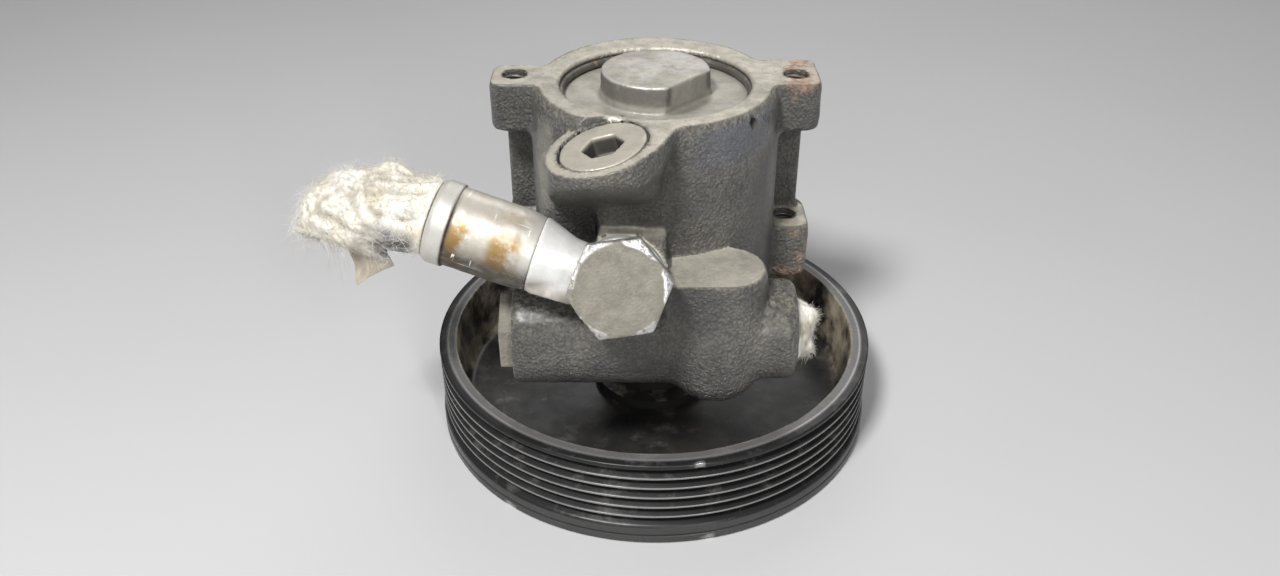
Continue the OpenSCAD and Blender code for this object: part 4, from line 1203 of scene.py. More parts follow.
@dataclass
class Housing:
    """The cast housing with its machined faces and threaded ears; sizes in millimetres."""

    voxel: float = 0.55
    most_triangles: int = 185000
    round_rounds: int = 26
    top_z: float = 112.7
    chamber_r: float = 27.5
    ear_x: float = 40.7
    ear_y: float = 4.75
    upper_hole_r: float = 3.5
    lower_hole_r: float = 3.25
    low_ear_z: float = 67.0
    side_top_z: float = 75.5
    side_place: tuple[float, float] = (15.0, -41.5)
    valve_half: float = 39.5
    thread_pitch: float = 1.25
    thread_deep: float = 0.45
    lump: float = 0.2
    poke_angle: float = -42.0
    poke_r: float = 1.4
    poke_z: float = 109.7
    wall_r: float = 31.5
    chamber_mid: float = 88.0
    upper_hole_mid: float = 105.0
    lower_hole_mid: float = 58.0
    upper_thread_low: float = 98.6
    lower_thread_low: float = 49.4
    plug_boss_r: float = 15.8
    plug_seat_r: float = 12.3
    plug_seat_deep: float = 2.6
    outlet_boss_r: float = 13.3
    valve_boss_r: float = 15.2
    blend_rounds: int = 60
    plug_blend: Zone = Zone(((-36, -31), (14, 6)), ((-26, -31),), ((84, 88), (111, 106)))
    lobe_blend: Zone = Zone(((-2, 2), (30, 26)), ((-40, -44),), ((72, 66),))
    shoulder_blend: Zone = Zone(y=((-8, -20),), z=((94, 98), (110, 107)))
    rusty_ear: Zone = Zone(((33, 40),), ((-10, -4),))
    # Where the bluish highlight is painted on the right shoulder.
    painted_highlight_zone: Zone = Zone(((6, 18),), ((-10, -18),), ((98, 103), (112.2, 110)))
    # A lighter strip left of the column: a painted highlight, given the machined colour.
    bright_strip: Zone = Zone(((-27, -30), (-36, -33)), ((-9, -16),), ((84, 90), (110, 105)))
    bright_ledge: Zone = Zone(((-17, -15), (4, 2)), ((-35, -36),), ((82, 84), (90, 88)))

    def faces(self) -> list[Union[FlatFace, Bore]]:
        """Lists the machined flats and bores.

        Returns:
            The flats first, then the bores.
        """
        up = (0, 0, 1)
        bolt, plug = bolt_frame(), plug_frame()
        bolt_way, plug_way = world_way(bolt, up), world_way(plug, up)
        valve_end = world_point(valve_frame(), (0, 0, -self.valve_half))
        flats = [
            FlatFace((0, 0, self.top_z), up, 70),
            FlatFace((*self.side_place, self.side_top_z), up, 20),
            FlatFace(world_point(plug, (0, 0, 0)), plug_way, self.plug_boss_r),
            FlatFace(world_point(plug, (0, 0, -self.plug_seat_deep)), plug_way, self.plug_seat_r),
            FlatFace(world_point(bolt, (0, 0, 0)), bolt_way, self.outlet_boss_r),
            FlatFace(valve_end, (-1, 0, 0), self.valve_boss_r),
        ]
        turn = math.radians(self.poke_angle)
        poke_way = (math.cos(turn), math.sin(turn), 0.0)
        poke = (self.wall_r * poke_way[0], self.wall_r * poke_way[1], self.poke_z)
        bores = [
            Bore((0, 0, self.chamber_mid), up, self.chamber_r, 27),
            Bore(world_point(plug, (0, 0, -self.plug_seat_deep / 2)), plug_way, self.plug_seat_r, 1.6),
            Bore(world_point(bolt, (0, 0, 6)), bolt_way, self.outlet_boss_r, 6.5),
            Bore(poke, poke_way, self.poke_r, 6.5),
        ]
        for side in (-1, 1):
            spot = (side * self.ear_x, self.ear_y)
            flats.append(FlatFace((*spot, self.low_ear_z), up, 9))
            bores.append(Bore((*spot, self.upper_hole_mid), up, self.upper_hole_r, 9))
            bores.append(Bore((*spot, self.lower_hole_mid), up, self.lower_hole_r, 10))
        return [*flats, *bores]

    def build(self) -> bpy.types.Object:
        """Builds the rounded casting.

        Returns:
            The casting, with its painted numbers.
        """
        piece = even_copy("housing", "housing_casting", self.voxel * MM)
        rows = points_of(piece.data) / MM
        edges = edges_of(piece.data)
        held = [(face, np.nonzero(face.near(rows))[0]) for face in self.faces()]
        share = np.full(len(rows), 0.5)
        free = np.ones(len(rows))
        flat = np.zeros(len(rows), bool)
        share[(polar(rows)[0] < self.chamber_r + 2.6) & (rows[:, 2] > self.top_z - 9)] = 0.12
        for face, which in held:
            share[which] = 0.3
            free[which] = 0.0
            flat[which] |= isinstance(face, FlatFace)

        def hold(moved: np.ndarray) -> np.ndarray:
            """Keeps the machined points on their faces.

            Args:
                moved: Points, in millimetres, moved in place.

            Returns:
                The same points, put back.
            """
            for face, which in held:
                face.hold(moved, which)
            return moved

        rows = relax(rows, edges, share, self.round_rounds, hold)
        rows = relax(rows, edges, 0.5 * free * self.blends(rows), self.blend_rounds, hold)
        put_points(piece.data, rows * MM)
        thin_out(piece, self.most_triangles, flat)
        self.paint_skin(piece.data)
        return piece

    def blends(self, rows: np.ndarray) -> np.ndarray:
        """Tells where the casting's forms run softly into each other, from 0 to 1."""
        zones = (self.plug_blend, self.lobe_blend, self.shoulder_blend)
        return np.max([zone.share(rows) for zone in zones], axis=0)

    def paint_skin(self, mesh: bpy.types.Mesh) -> None:
        """Roughens the cast skin and paints where metal and rust show, painted highlights on the right
        shoulder and a strip left of the column, and painted shade with oil in the bore, the small holes, the
        flank left of the column and towards the bottom.

        Args:
            mesh: The casting's mesh.
        """
        rows = points_of(mesh)
        normals = normals_of(mesh)
        mm = rows / MM
        machined = np.zeros(len(mm))
        hole_shade = np.zeros(len(mm))
        for face in self.faces():
            on = face.near(mm)
            flat = isinstance(face, FlatFace)
            if flat:
                on &= normals @ np.array(face.normal) > 0.9
            machined[on] = 1.0 if flat else 0.15
            # Painted shade inside the ear holes and the poke hole.
            if not flat and face.radius < self.upper_hole_r + 1:
                hole_shade[on] = 0.85
        axis_r = polar(mm)[0]
        inside = (axis_r < self.chamber_r + 2.2) & (mm[:, 2] > 60)
        machined[inside] = 0.3
        machined[inside & (mm[:, 2] > self.top_z - 1.1)] = 1.0
        machined = relax(machined[:, None].repeat(3, 1), edges_of(mesh), np.full(len(mm), 0.4), 1)[:, 0]

        lumps = ripple(rows, 5 * MM, 3.7, 2) * 0.7 + ripple(rows, 1.7 * MM, 9.1, 1) * 0.4
        rows = rows + normals * (lumps * (1 - machined) * self.lump * MM)[:, None]
        put_points(mesh, rows)

        x, y, z = mm.T
        rust = self.rusty_ear.share(mm) * (0.6 * step(z, 104, 111) + 0.42 * step(z, 70, 66))
        # Painted shade on the bore's wall just below the top, and on the flank left of the column.
        wall = (axis_r < self.chamber_r + 1.6) * step(z, self.top_z - 0.5, self.top_z - 1.7)
        flank_shade = step(np.hypot(x + 22, y + 31), 13, 6) * step(z, 92, 86) * step(x, -15, -17)
        ledge = self.bright_ledge.share(mm) * step(normals[:, 2], 0.35, 0.6)
        # The machined mask also carries the painted highlight of the bright strip, and the machined ledge.
        bright = (machined, 0.55 * self.bright_strip.share(mm), 0.85 * ledge)
        paint(mesh, "machined", np.max(bright, axis=0))
        paint(mesh, "rust", rust + 0.1 * step(z, 60, 40))
        # Painted bluish highlight on the right shoulder.
        paint(mesh, "sheen", self.painted_highlight_zone.share(mm))
        # Oil and painted shade: the bore's wall, the flank, the small holes, and darker towards the bottom.
        paint(mesh, "oil_and_shade", np.max((0.8 * wall, flank_shade, hole_shade, 0.8 * step(z, 46, 41)), axis=0))

    def threads(self) -> bpy.types.Object:
        """Builds the screw threads in the four ear holes as one piece.

        Returns:
            The threads.
        """
        around = 40
        runs = []
        for side in (-1, 1):
            runs.append((side, self.upper_hole_r, self.upper_thread_low, self.top_z - 0.5))
            runs.append((side, self.lower_hole_r, self.lower_thread_low, self.low_ear_z - 0.5))
        verts: list[np.ndarray] = []
        faces: list[list[int]] = []
        for side, radius, low, high in runs:
            turns = (high - low - self.thread_pitch) / self.thread_pitch
            stations = int(turns * around)
            angle = np.arange(stations) * 2 * math.pi / around
            height = low + 0.5 * self.thread_pitch + angle / (2 * math.pi) * self.thread_pitch
            first = sum(len(v) for v in verts)
            half = 0.46 * self.thread_pitch
            section = ((-0.05, -half), (self.thread_deep, -0.05), (self.thread_deep, 0.05), (-0.05, half))
            for deep, lift in section:
                ring = radius - deep
                x = side * self.ear_x + ring * np.cos(angle)
                y = self.ear_y + ring * np.sin(angle)
                verts.append(np.stack([x, y, height + lift], axis=1) * MM)
            for i in range(stations - 1):
                for k in range(4):
                    a, b = first + k * stations + i, first + (k + 1) % 4 * stations + i
                    faces.append([a, a + 1, b + 1, b])
            last = stations - 1
            faces.append([first + k * stations for k in range(4)])
            faces.append([first + k * stations + last for k in (3, 2, 1, 0)])
        return new_piece("ear_threads", np.concatenate(verts), faces)

    def dress(self, paints: Paintbox) -> None:
        """Builds and dresses the housing's pieces."""
        paints.seat(self.build(), "cast_housing", BODY, "housing")
        paints.seat(self.threads(), "wire_steel", BODY)


@dataclass
class Pulley:
    """The grooved belt pulley; sizes in millimetres."""

    lip_r: float = 70.0
    crest_r: float = 69.4
    grooves: int = 6
    pitch: float = 3.56
    deep: float = 2.6
    low_band: float = 6.2
    top_band: float = 1.2
    back: float = 3.0
    draft: float = 1.6
    fillet: float = 2.5
    web_low: float = 4.5
    web_high: float = 8.0
    bore_r: float = 13.02
    flat: float = 0.5
    chip_r: float = 1.7
    chip_deep: float = 0.35
    segments: int = 252

    @property
    def height(self) -> float:
        """Height of the rim."""
        return self.low_band + self.grooves * self.pitch + self.top_band

    @property
    def rim_in(self) -> float:
        """Inner radius of the rim's top."""
        return self.crest_r - self.deep - self.back

    @property
    def dish_r(self) -> float:
        """Inner radius of the rim at the web."""
        return self.rim_in - self.draft

    def outline(self) -> np.ndarray:
        """Gives the rounded section, as rows of radius and height.

        Returns:
            The closed outline.
        """
        edge = 0.6
        line, line_z = 0.25, 2.6
        outer = [
            (self.bore_r, self.web_low), (self.dish_r - 1.5, self.web_low), (self.dish_r, self.web_low - 1.2),
            (self.dish_r, edge), (self.dish_r + edge, 0.0), (self.lip_r - edge, 0.0), (self.lip_r, edge),
            (self.lip_r, line_z), (self.lip_r - line, line_z + 0.3), (self.lip_r - line, line_z + 0.7),
            (self.lip_r, line_z + 1.0), (self.lip_r, self.low_band - edge),
        ]
        for i in range(self.grooves):
            middle = self.low_band + (i + 0.5) * self.pitch
            half = self.pitch / 2 - self.flat / 2
            bottom = self.crest_r - self.deep
            outer += [(self.crest_r, middle - half), (bottom, middle - self.flat / 2)]
            outer += [(bottom, middle + self.flat / 2), (self.crest_r, middle + half)]
        outer += [(self.crest_r, self.height), (self.rim_in, self.height)]
        shell = soften(outer + [(self.dish_r, self.web_high + self.fillet)], 0.5, 3)
        angles = np.linspace(0, -math.pi / 2, 8)
        centre = (self.dish_r - self.fillet, self.web_high + self.fillet)
        corner = np.stack(
            [centre[0] + self.fillet * np.cos(angles), centre[1] + self.fillet * np.sin(angles)], axis=1
        )
        rings = (self.dish_r - 7, self.dish_r - 14, self.bore_r + 8, self.bore_r)
        floor = np.array([(ring, self.web_high) for ring in rings])
        return np.concatenate([shell[:-1], corner, floor])

    def build(self) -> bpy.types.Object:
        """Builds the pulley with its chipped lips.

        Returns:
            The pulley.
        """
        outline = divided(self.outline(), 0.5, self.rim_in - 0.1)
        piece = lathe("pulley_turned", outline, self.segments)
        rows = points_of(piece.data) / MM
        bare = self.chip(rows)
        put_points(piece.data, rows * MM)
        self.paint_wear(piece.data, rows, bare)
        return piece

    def chip(self, rows: np.ndarray) -> np.ndarray:
        """Knocks three chips out of the lips.

        Args:
            rows: Points, in millimetres, moved in place.

        Returns:
            How bare each point is, from 0 to 1.
        """
        chips = (
            (-80.2, self.height - 0.6, self.crest_r),
            (-77.6, 1.2, self.lip_r),
            (-128.0, 1.0, self.lip_r),
        )
        bare = np.zeros(len(rows))
        for angle, height, radius in chips:
            turn = math.radians(angle)
            out = np.array([math.cos(turn), math.sin(turn), 0.0])
            spot = radius * out + np.array([0.0, 0.0, height])
            near = step(np.linalg.norm(rows - spot, axis=1), self.chip_r, 0.4)
            rows -= near[:, None] * self.chip_deep * out
            bare = np.maximum(bare, near)
        return bare

    def paint_wear(self, mesh: bpy.types.Mesh, rows: np.ndarray, bare: np.ndarray) -> None:
        """Paints the polished crests, partly painted highlight lines, the painted highlight on the low band,
        the painted reflection and bright line on the lip's top, and the dirt in the dish.

        Args:
            mesh: The pulley's mesh.
            rows: Its points, in millimetres.
            bare: How bare each point already is.
        """
        radius, height = polar(rows)[0], rows[:, 2]
        place = (height - self.low_band) / self.pitch
        line = step(np.abs(place - np.round(place)), 0.16, 0.06)
        line *= step(np.abs(place - self.grooves / 2), 2.6, 2.4)
        # Polished crests, partly painted highlight lines.
        crest = 0.55 * line * step(radius, self.crest_r - 0.2, self.crest_r - 0.03)
        # Painted highlight on the low band.
        band = 0.08 * step(radius, self.lip_r - 0.3, self.lip_r - 0.05)
        band *= step(height, self.low_band + 0.2, self.low_band - 0.4)
        # Painted reflection on the lip's top, with a brighter painted highlight line across it.
        width = radius - self.rim_in
        top = step(height, self.height - 0.4, self.height - 0.05)
        top *= step(width, 0.0, 0.6) * step(width, 3.8, 2.8)
        top *= 0.22 + 0.4 * step(np.abs(width - 2.9), 0.4, 0.1)
        paint(mesh, "polish_and_highlight", np.max((crest, band, top, bare), axis=0))
        wall = step(radius, self.dish_r - 9, self.dish_r - 1)
        wall *= step(height, self.web_high - 0.5, self.web_high + 1)
        wall *= step(radius, self.rim_in + 0.8, self.rim_in)
        floor = step(height, self.web_high - 0.2, self.web_high)
        floor *= step(radius, self.dish_r + 0.5, self.dish_r - 0.5)
        paint(mesh, "dirt", np.maximum(wall, 0.06 * floor))

    def dress(self, paints: Paintbox) -> None:
        """Builds and dresses the pulley."""
        paints.seat(self.build(), "pulley_black", TURNING, "pulley")


@dataclass
class Outlet:
    """The banjo bolt, its eye and the crimped hose end; sizes in millimetres."""

    head_face: float = 24.0
    head_low: float = 15.0
    face_r: float = 11.7
    sleeve_r: float = 10.7
    collar_r: float = 11.3
    sleeve_from: float = 23.5
    sleeve_to: float = 51.5
    collar_w: float = 5.4
    wall: float = 2.2
    segments: int = 160
    bolt_triangles: int = 90000
    eye_triangles: int = 60000

    def bolt(self) -> bpy.types.Object:
        """Builds the worn hexagon bolt.

        Returns:
            The bolt, with its bare places painted.
        """
        piece = worn_copy("banjo_bolt", "banjo_bolt_worn", 0.3, 5)
        rows = points_of(piece.data)
        local = into_frame(rows, bolt_frame())
        radius, turn = polar(local)
        rim = step(radius, self.face_r - 0.9, self.face_r + 0.3)
        rim *= step(local[:, 2], self.head_face - 3, self.head_face)
        torn = self.burred(turn) + 0.7 * step(turn, -100, -115) * step(turn, -165, -150)
        saw = ripple(rows, 1.1 * MM, 5.3, 2)
        out = local[:, :2] / np.maximum(radius, 1e-6)[:, None]
        local[:, :2] += out * (rim * torn * (0.2 + 0.35 * saw))[:, None]
        local[:, 2] += rim * (0.3 * torn * np.abs(saw) + 0.1 * ripple(rows, 2.5 * MM, 1.2, 1))
        put_points(piece.data, out_of_frame(local, bolt_frame()))
        thin_out(piece, self.bolt_triangles)
        self.paint_bolt(piece.data)
        return piece

    @staticmethod
    def burred(turn: np.ndarray) -> np.ndarray:
        """Tells where the rim of the bolt's face is burred, from 0 to 1."""
        return step(turn, 95, 110) * step(turn, 190, 170)

    def paint_bolt(self, mesh: bpy.types.Mesh) -> None:
        """Paints the bolt's bare corners, and painted shade on its shank under the head.

        Args:
            mesh: The bolt's mesh.
        """
        rows = points_of(mesh)
        local = into_frame(rows, bolt_frame())
        radius, turn = polar(local)
        corners = np.zeros(len(local))
        for middle, half, much in ((62, 28, 1.0), (4, 24, 0.9), (-56, 16, 0.4), (-118, 16, 0.3)):
            away = np.abs((turn - middle + 180) % 360 - 180)
            corners = np.maximum(corners, much * step(away, half, half * 0.6))
        reach = radius + 0.9 * corners + 0.25 * ripple(rows, 1.5 * MM, 8.2, 2)
        chamfer = step(reach, self.face_r, self.face_r + 0.4)
        chamfer *= step(local[:, 2], self.head_low + 1, self.head_low + 4)
        burr = self.burred(turn) * step(radius, self.face_r - 0.7, self.face_r)
        paint(mesh, "bare", np.maximum(chamfer * (0.1 + 1.1 * corners), 0.7 * burr))
        # Painted shade on the shank under the head.
        paint(mesh, "dark", step(local[:, 2], self.head_low + 3, self.head_low - 0.5))

    def fitting(self) -> bpy.types.Object:
        """Builds the banjo eye with its blended neck.

        Returns:
            The eye, with its stains and the painted shade underneath it.
        """
        piece = worn_copy("banjo_fitting", "banjo_fitting_plated", 0.4, 12, self.eye_triangles)
        local = into_frame(points_of(piece.data), hose_frame())
        # Painted shade, brown, under the eye and darker towards the eye's end, with a little amber stain.
        under = step(local[:, 1], 4.0, 8.5)
        paint(piece.data, "amber", 0.35 * under)
        paint(piece.data, "brown_stain_and_shade", 0.55 * under + 0.25 * step(local[:, 2], 15, 11))
        return piece

    def sleeve(self) -> bpy.types.Object:
        """Builds the crimped sleeve with its dents and its rounded collar.

        Returns:
            The sleeve, in the hose end's own frame.
        """
        start, end = self.sleeve_from, self.sleeve_to
        collar = end - self.collar_w
        inner = self.sleeve_r - self.wall
        outline = soften([
            (inner, start), (self.sleeve_r - 0.75, start), (self.sleeve_r - 0.15, start + 3.5),
            (self.sleeve_r, start + 6), (self.sleeve_r, collar - 0.2), (self.collar_r - 0.1, collar),
            (self.collar_r, collar + 0.6), (self.collar_r, end - 1.4), (self.collar_r - 0.7, end),
            (inner + 0.5, end), (inner, end - 0.5), (inner, start + 0.3),
        ], 0.4, 4)
        piece = lathe("hose_sleeve_crimped", divided(outline, 0.5)[:-1], self.segments)
        rows = points_of(piece.data)
        radius = np.hypot(rows[:, 0], rows[:, 1]) / MM
        along = rows[:, 2] / MM
        outside = step(radius, self.sleeve_r - 0.4, self.sleeve_r - 0.1) * step(along, start, start + 3)
        dents = np.minimum(ripple(rows, 5 * MM, 2.2, 2) + 0.15, 0) * outside
        dents *= step(along, collar - 0.5, collar - 3)
        rows[:, :2] *= (1 + 0.022 * dents)[:, None]
        put_points(piece.data, rows)
        piece.matrix_world = hose_frame()
        self.stain_and_shade(piece.data)
        return piece

    def stain_and_shade(self, mesh: bpy.types.Mesh) -> None:
        """Paints the sleeve's amber patches, brown stains by the collar and painted shade on its underside.

        Args:
            mesh: The sleeve's mesh, in the hose end's frame.
        """
        x, y, along = (points_of(mesh) / MM).T
        turn = np.degrees(np.arctan2(y, -x))
        collar = self.sleeve_to - self.collar_w

        def patch(middle: float, half: float, angle: float, spread: float) -> np.ndarray:
            """Gives a soft patch round a place along the sleeve and an angle down from its front."""
            near = step(np.abs(along - middle), half, half * 0.3)
            return near * step(np.abs(turn - angle), spread, spread * 0.4)

        film = 0.22 * step(along, 27, 34) * step(along, collar, collar - 0.3)
        spots = (patch(31.0, 6.4, 12, 42), patch(43.4, 5.0, 24, 66), 0.45 * patch(31.0, 7.0, -46, 19), film)
        paint(mesh, "amber", np.max(spots, axis=0) * step(along, collar + 0.4, collar - 0.2))
        # Painted shade on the sleeve's underside.
        underside_shade = step(turn, 6, 42) * step(turn, 178, 150) * step(along, collar + 0.4, collar - 0.4)
        joint = patch(collar - 0.2, 0.9, 40, 120)
        paint(mesh, "brown_stain_and_shade", np.max((0.95 * underside_shade, 0.6 * patch(44.5, 3.0, 52, 45), joint), axis=0))

    def dress(self, paints: Paintbox) -> None:
        """Builds and dresses the outlet's pieces.

        Args:
            paints: The materials.
        """
        paints.seat(self.bolt(), "bolt_steel", BODY, "banjo_bolt")
        paints.seat(self.fitting(), "fitting_zinc", BODY, "banjo_fitting")
        paints.seat(self.sleeve(), "sleeve_zinc", BODY, "hose_sleeve")


@dataclass
class TopPieces:
    """The end cover, the gallery plug and the valve plug, with worn edges; sizes in millimetres."""

    cover_top: float = 116.4
    cover_face: float = 108.5
    cover_r: float = 27.4
    boss_r: float = 15.5
    socket_r: float = 5.8
    cover_triangles: int = 75000
    plug_triangles: int = 50000

    def cover(self) -> bpy.types.Object:
        """Builds the end cover, paler on top of its boss.

        Returns:
            The cover, with its bare places and its painted shade.
        """
        piece = worn_copy("end_cover", "end_cover_dusty", 0.45, 4, self.cover_triangles)
        rows = points_of(piece.data)
        radius, height = polar(rows / MM)[0], rows[:, 2] / MM
        top, face = self.cover_top, self.cover_face
        side = step(radius, self.boss_r - 1.5, self.boss_r - 0.5)
        side *= step(height, face + 1.5, face + 3) * step(height, top - 0.2, top - 0.8)
        rows += normals_of(piece.data) * (0.1 * MM * side * ripple(rows, 1.6 * MM, 4.4, 2))[:, None]
        put_points(piece.data, rows)
        rim = step(radius, self.boss_r - 0.9, self.boss_r - 0.2) * step(height, top - 0.8, top - 0.2)
        patch = step(height, top - 0.4, top - 0.1) * step(ripple(rows, 9 * MM, 7.7, 3), -0.1, 0.5)
        paint(piece.data, "bare", np.maximum(0.5 * rim, 0.3 * patch))
        # Painted shade at the boss's foot, on the cover's outer edge and on the boss's side.
        low = step(height, face + 2.1, face + 0.1) * step(radius, self.boss_r + 1.6, self.boss_r - 0.2)
        edge = step(radius, self.cover_r - 1, self.cover_r)
        paint(piece.data, "dark", np.max((0.5 * low, 0.5 * edge, 0.65 * side), axis=0))
        return piece

    def plug(self, node: str, name: str) -> bpy.types.Object:
        """Builds a worn plug, with painted shade inside its socket.

        Args:
            node: Name of the solid.
            name: Name of the new piece.

        Returns:
            The plug.
        """
        piece = worn_copy(node, name, 0.36, 4, self.plug_triangles)
        local = into_frame(points_of(piece.data), plug_frame())
        socket = step(polar(local)[0], self.socket_r + 0.4, self.socket_r - 0.4)
        paint(piece.data, "bare", np.zeros(len(local)))
        # Painted shade inside the socket.
        paint(piece.data, "dark", socket * step(local[:, 2], -0.3, -1.6))
        return piece

    def dress(self, paints: Paintbox) -> None:
        """Builds and dresses the cover and the plugs.

        Args:
            paints: The materials.
        """
        paints.seat(self.cover(), "cover_metal", BODY, "end_cover")
        paints.seat(self.plug("gallery_plug", "gallery_plug_worn"), "plug_steel", BODY, "gallery_plug")
        paints.seat(self.plug("valve_plug", "valve_plug_worn"), "bolt_steel", BODY, "valve_plug")


# Rags


@dataclass(frozen=True)
class Fibres:
    """One kind of loose fibre on a rag, with its lift, its tips' sag and where it starts; in millimetres."""

    count: int
    length: tuple[float, float]
    lift: float
    sag: float
    beyond: float = 0.0

    def grow(
        self, mesh: bpy.types.Mesh, keep: np.ndarray, seed: int
    ) -> tuple[np.ndarray, list[list[int]]]:
        """Grows the fibres on a mesh.

        Args:
            mesh: The wad that they grow on.
            keep: How likely each point is to carry fibres, from 0 to 1.
            seed: Start of the random numbers.

        Returns:
            Points of the fibres, ten to a fibre, and their faces, nine to a fibre.
        """
        count, lift = self.count, self.lift
        random = np.random.default_rng(seed)
        mesh.calc_loop_triangles()
        corners = np.zeros(len(mesh.loop_triangles) * 3, np.int32)
        mesh.loop_triangles.foreach_get("vertices", corners)
        corners = corners.reshape(-1, 3)
        rows, normals = points_of(mesh), normals_of(mesh)
        sides = rows[corners]
        area = np.linalg.norm(np.cross(sides[:, 1] - sides[:, 0], sides[:, 2] - sides[:, 0]), axis=1)
        weight = area * keep[corners].mean(axis=1)
        pick = random.choice(len(corners), count, p=weight / weight.sum())
        part = random.dirichlet((1, 1, 1), count)
        root = (rows[corners[pick]] * part[:, :, None]).sum(axis=1)
        up = (normals[corners[pick]] * part[:, :, None]).sum(axis=1)
        along = np.cross(up, random.normal(0, 1, (count, 3)))
        along /= np.maximum(np.linalg.norm(along, axis=1), 1e-9)[:, None]
        way = lift * random.uniform(0.4, 1.6, (count, 1)) * up + along
        way /= np.linalg.norm(way, axis=1)[:, None]
        bend = random.normal(0, 0.45, (count, 3)) - 0.9 * lift * up - np.array([0, 0, self.sag])
        size = random.uniform(*self.length, count)[:, None] * MM
        thick = random.uniform(0.03, 0.06, count)[:, None] * MM
        side = np.cross(way, up)
        side /= np.maximum(np.linalg.norm(side, axis=1), 1e-9)[:, None]
        other = np.cross(way, side)
        verts = np.zeros((count, 10, 3))
        for i, t in enumerate((0.0, 0.4, 0.75)):
            middle = root - 0.2 * MM * up + size * (way * t + bend * t * t * 0.5)
            for k in range(3):
                turn = k * 2 * math.pi / 3
                ring = side * math.cos(turn) + other * math.sin(turn)
                verts[:, i * 3 + k] = middle + ring * thick * (1 - 0.4 * t)
        verts[:, 9] = root + size * (way + bend * 0.5)
        pattern = []
        for i in range(2):
            for k in range(3):
                j = (k + 1) % 3
                pattern.append([i * 3 + k, i * 3 + j, (i + 1) * 3 + j, (i + 1) * 3 + k])
        pattern += [[6 + k, 6 + (k + 1) % 3, 9] for k in range(3)]
        faces = [[first + n for n in face] for first in range(0, count * 10, 10) for face in pattern]
        return verts.reshape(-1, 3), faces


@dataclass
class Rag:
    """A crumpled rag stuffed into an open port; sizes in millimetres."""

    node: str
    name: str
    frame_matrix: Matrix
    mouth: float
    seed: int
    fold_size: float
    fold_deep: float
    fibres: tuple[Fibres, ...]
    stretch: Point = (1.0, 1.0, 1.0)
    fill: float = 0.3
    flap_from: Optional[float] = None
    tint: float = 0.3
    tint_from: float = 0.0
    # Where painted shade, with some soil, darkens the underside.
    shade_and_soil_zone: Optional[Zone] = None
    voxel: float = 0.45

    def crease(self, local: np.ndarray) -> np.ndarray:
        """Gives the height of the cloth's folds, sharp along their valleys.

        Args:
            local: Points in the port's frame.

        Returns:
            One height for each point.
        """
        drawn = local * np.array(self.stretch)
        swirl = [ripple(drawn, 1.3 * self.fold_size, self.seed + k, 1) for k in (0.3, 7.1, 13.7)]
        drawn = drawn + np.stack(swirl, axis=1) * 0.45 * self.fold_size
        broad = np.abs(ripple(drawn, self.fold_size, self.seed + 2.9, 1))
        fine = np.abs(ripple(drawn, 0.4 * self.fold_size, self.seed + 5.3, 1))
        return 1.6 * broad + 0.45 * fine - 0.6

    def hang(self, local: np.ndarray) -> np.ndarray:
        """Draws the loose corner out into a flat cloth.

        Args:
            local: Points in the port's frame, moved in place.

        Returns:
            How far each point belongs to the corner, from 0 to 1.
        """
        if self.flap_from is None:
            return np.zeros(len(local))
        hang = step(local[:, 1], self.flap_from, self.flap_from + 2.5)
        middle = np.median(local[hang > 0.5, 2])
        down = np.clip((local[:, 1] - self.flap_from) / np.ptp(local[hang > 0, 1]), 0, 1)
        local[:, 0] = local[:, 0] * (1 - 0.85 * hang) + 1.1 * hang * np.sin(local[:, 1] * 0.45)
        local[:, 2] += hang * (local[:, 2] - middle) * (1.1 - 1.9 * down)
        return hang

    def build(self) -> bpy.types.Object:
        """Builds the wad with its folds, its loose corner and its fibres.

        Returns:
            The rag.
        """
        piece = even_copy(self.node, self.name + "_core", self.voxel * MM)
        local = into_frame(points_of(piece.data), self.frame_matrix)
        free = step(local[:, 2], self.mouth + 0.2, self.mouth + 3.5)
        hang = self.hang(local)
        rows = out_of_frame(local, self.frame_matrix)
        put_points(piece.data, rows)
        crease = self.crease(local)
        push = self.fold_deep * crease * free * (1 - 0.9 * hang)
        rows = rows + normals_of(piece.data) * (push * MM)[:, None]
        rows = relax(rows, edges_of(piece.data), 0.3 * free, 2)
        put_points(piece.data, rows)
        # Browner tint patches on the upper side.
        worn = self.tint * step(ripple(local, 7.0, self.seed + 1.7, 2), -0.1, 0.5)
        worn *= step(local[:, 2], self.tint_from, self.tint_from + 8) * step(local[:, 1], 3, -2)
        # Painted shade in the crease valleys and on the loose corner, with the brown tint patches; painted
        # shade with some soil underneath.
        crease_shade_and_tint = np.max((0.7 * step(crease, -0.2, -0.5) * free, hang, worn), axis=0)
        shade_and_soil = self.shade_and_soil_zone.share(local) * free * (1 - hang) if self.shade_and_soil_zone else 0 * free

        verts = [rows]
        faces = [list(p.vertices) for p in piece.data.polygons]
        count = len(rows)
        for number, kind in enumerate(self.fibres):
            keep = free * (1 - hang) * (1 - 0.8 * shade_and_soil)
            if kind.beyond:
                keep = keep * step(local[:, 2], kind.beyond, kind.beyond + 4)
            points, sides = kind.grow(piece.data, keep, self.seed + number)
            verts.append(points)
            faces += [[n + count for n in face] for face in sides]
            count += len(points)
        whole = new_piece(self.name, np.concatenate(verts), faces)
        loose = np.ones(count - len(rows))
        paint(whole.data, "crease_shade_and_tint", np.concatenate([crease_shade_and_tint, 0.3 * self.tint * loose]))
        paint(whole.data, "shade_and_soil", np.concatenate([shade_and_soil, 0 * loose]))
        bpy.data.objects.remove(piece)
        return whole

    def dress(self, paints: Paintbox) -> None:
        """Args:
            paints: The materials.
        """
        piece = self.build()
        paints.seat(piece, "rag_cloth", BODY, self.node)


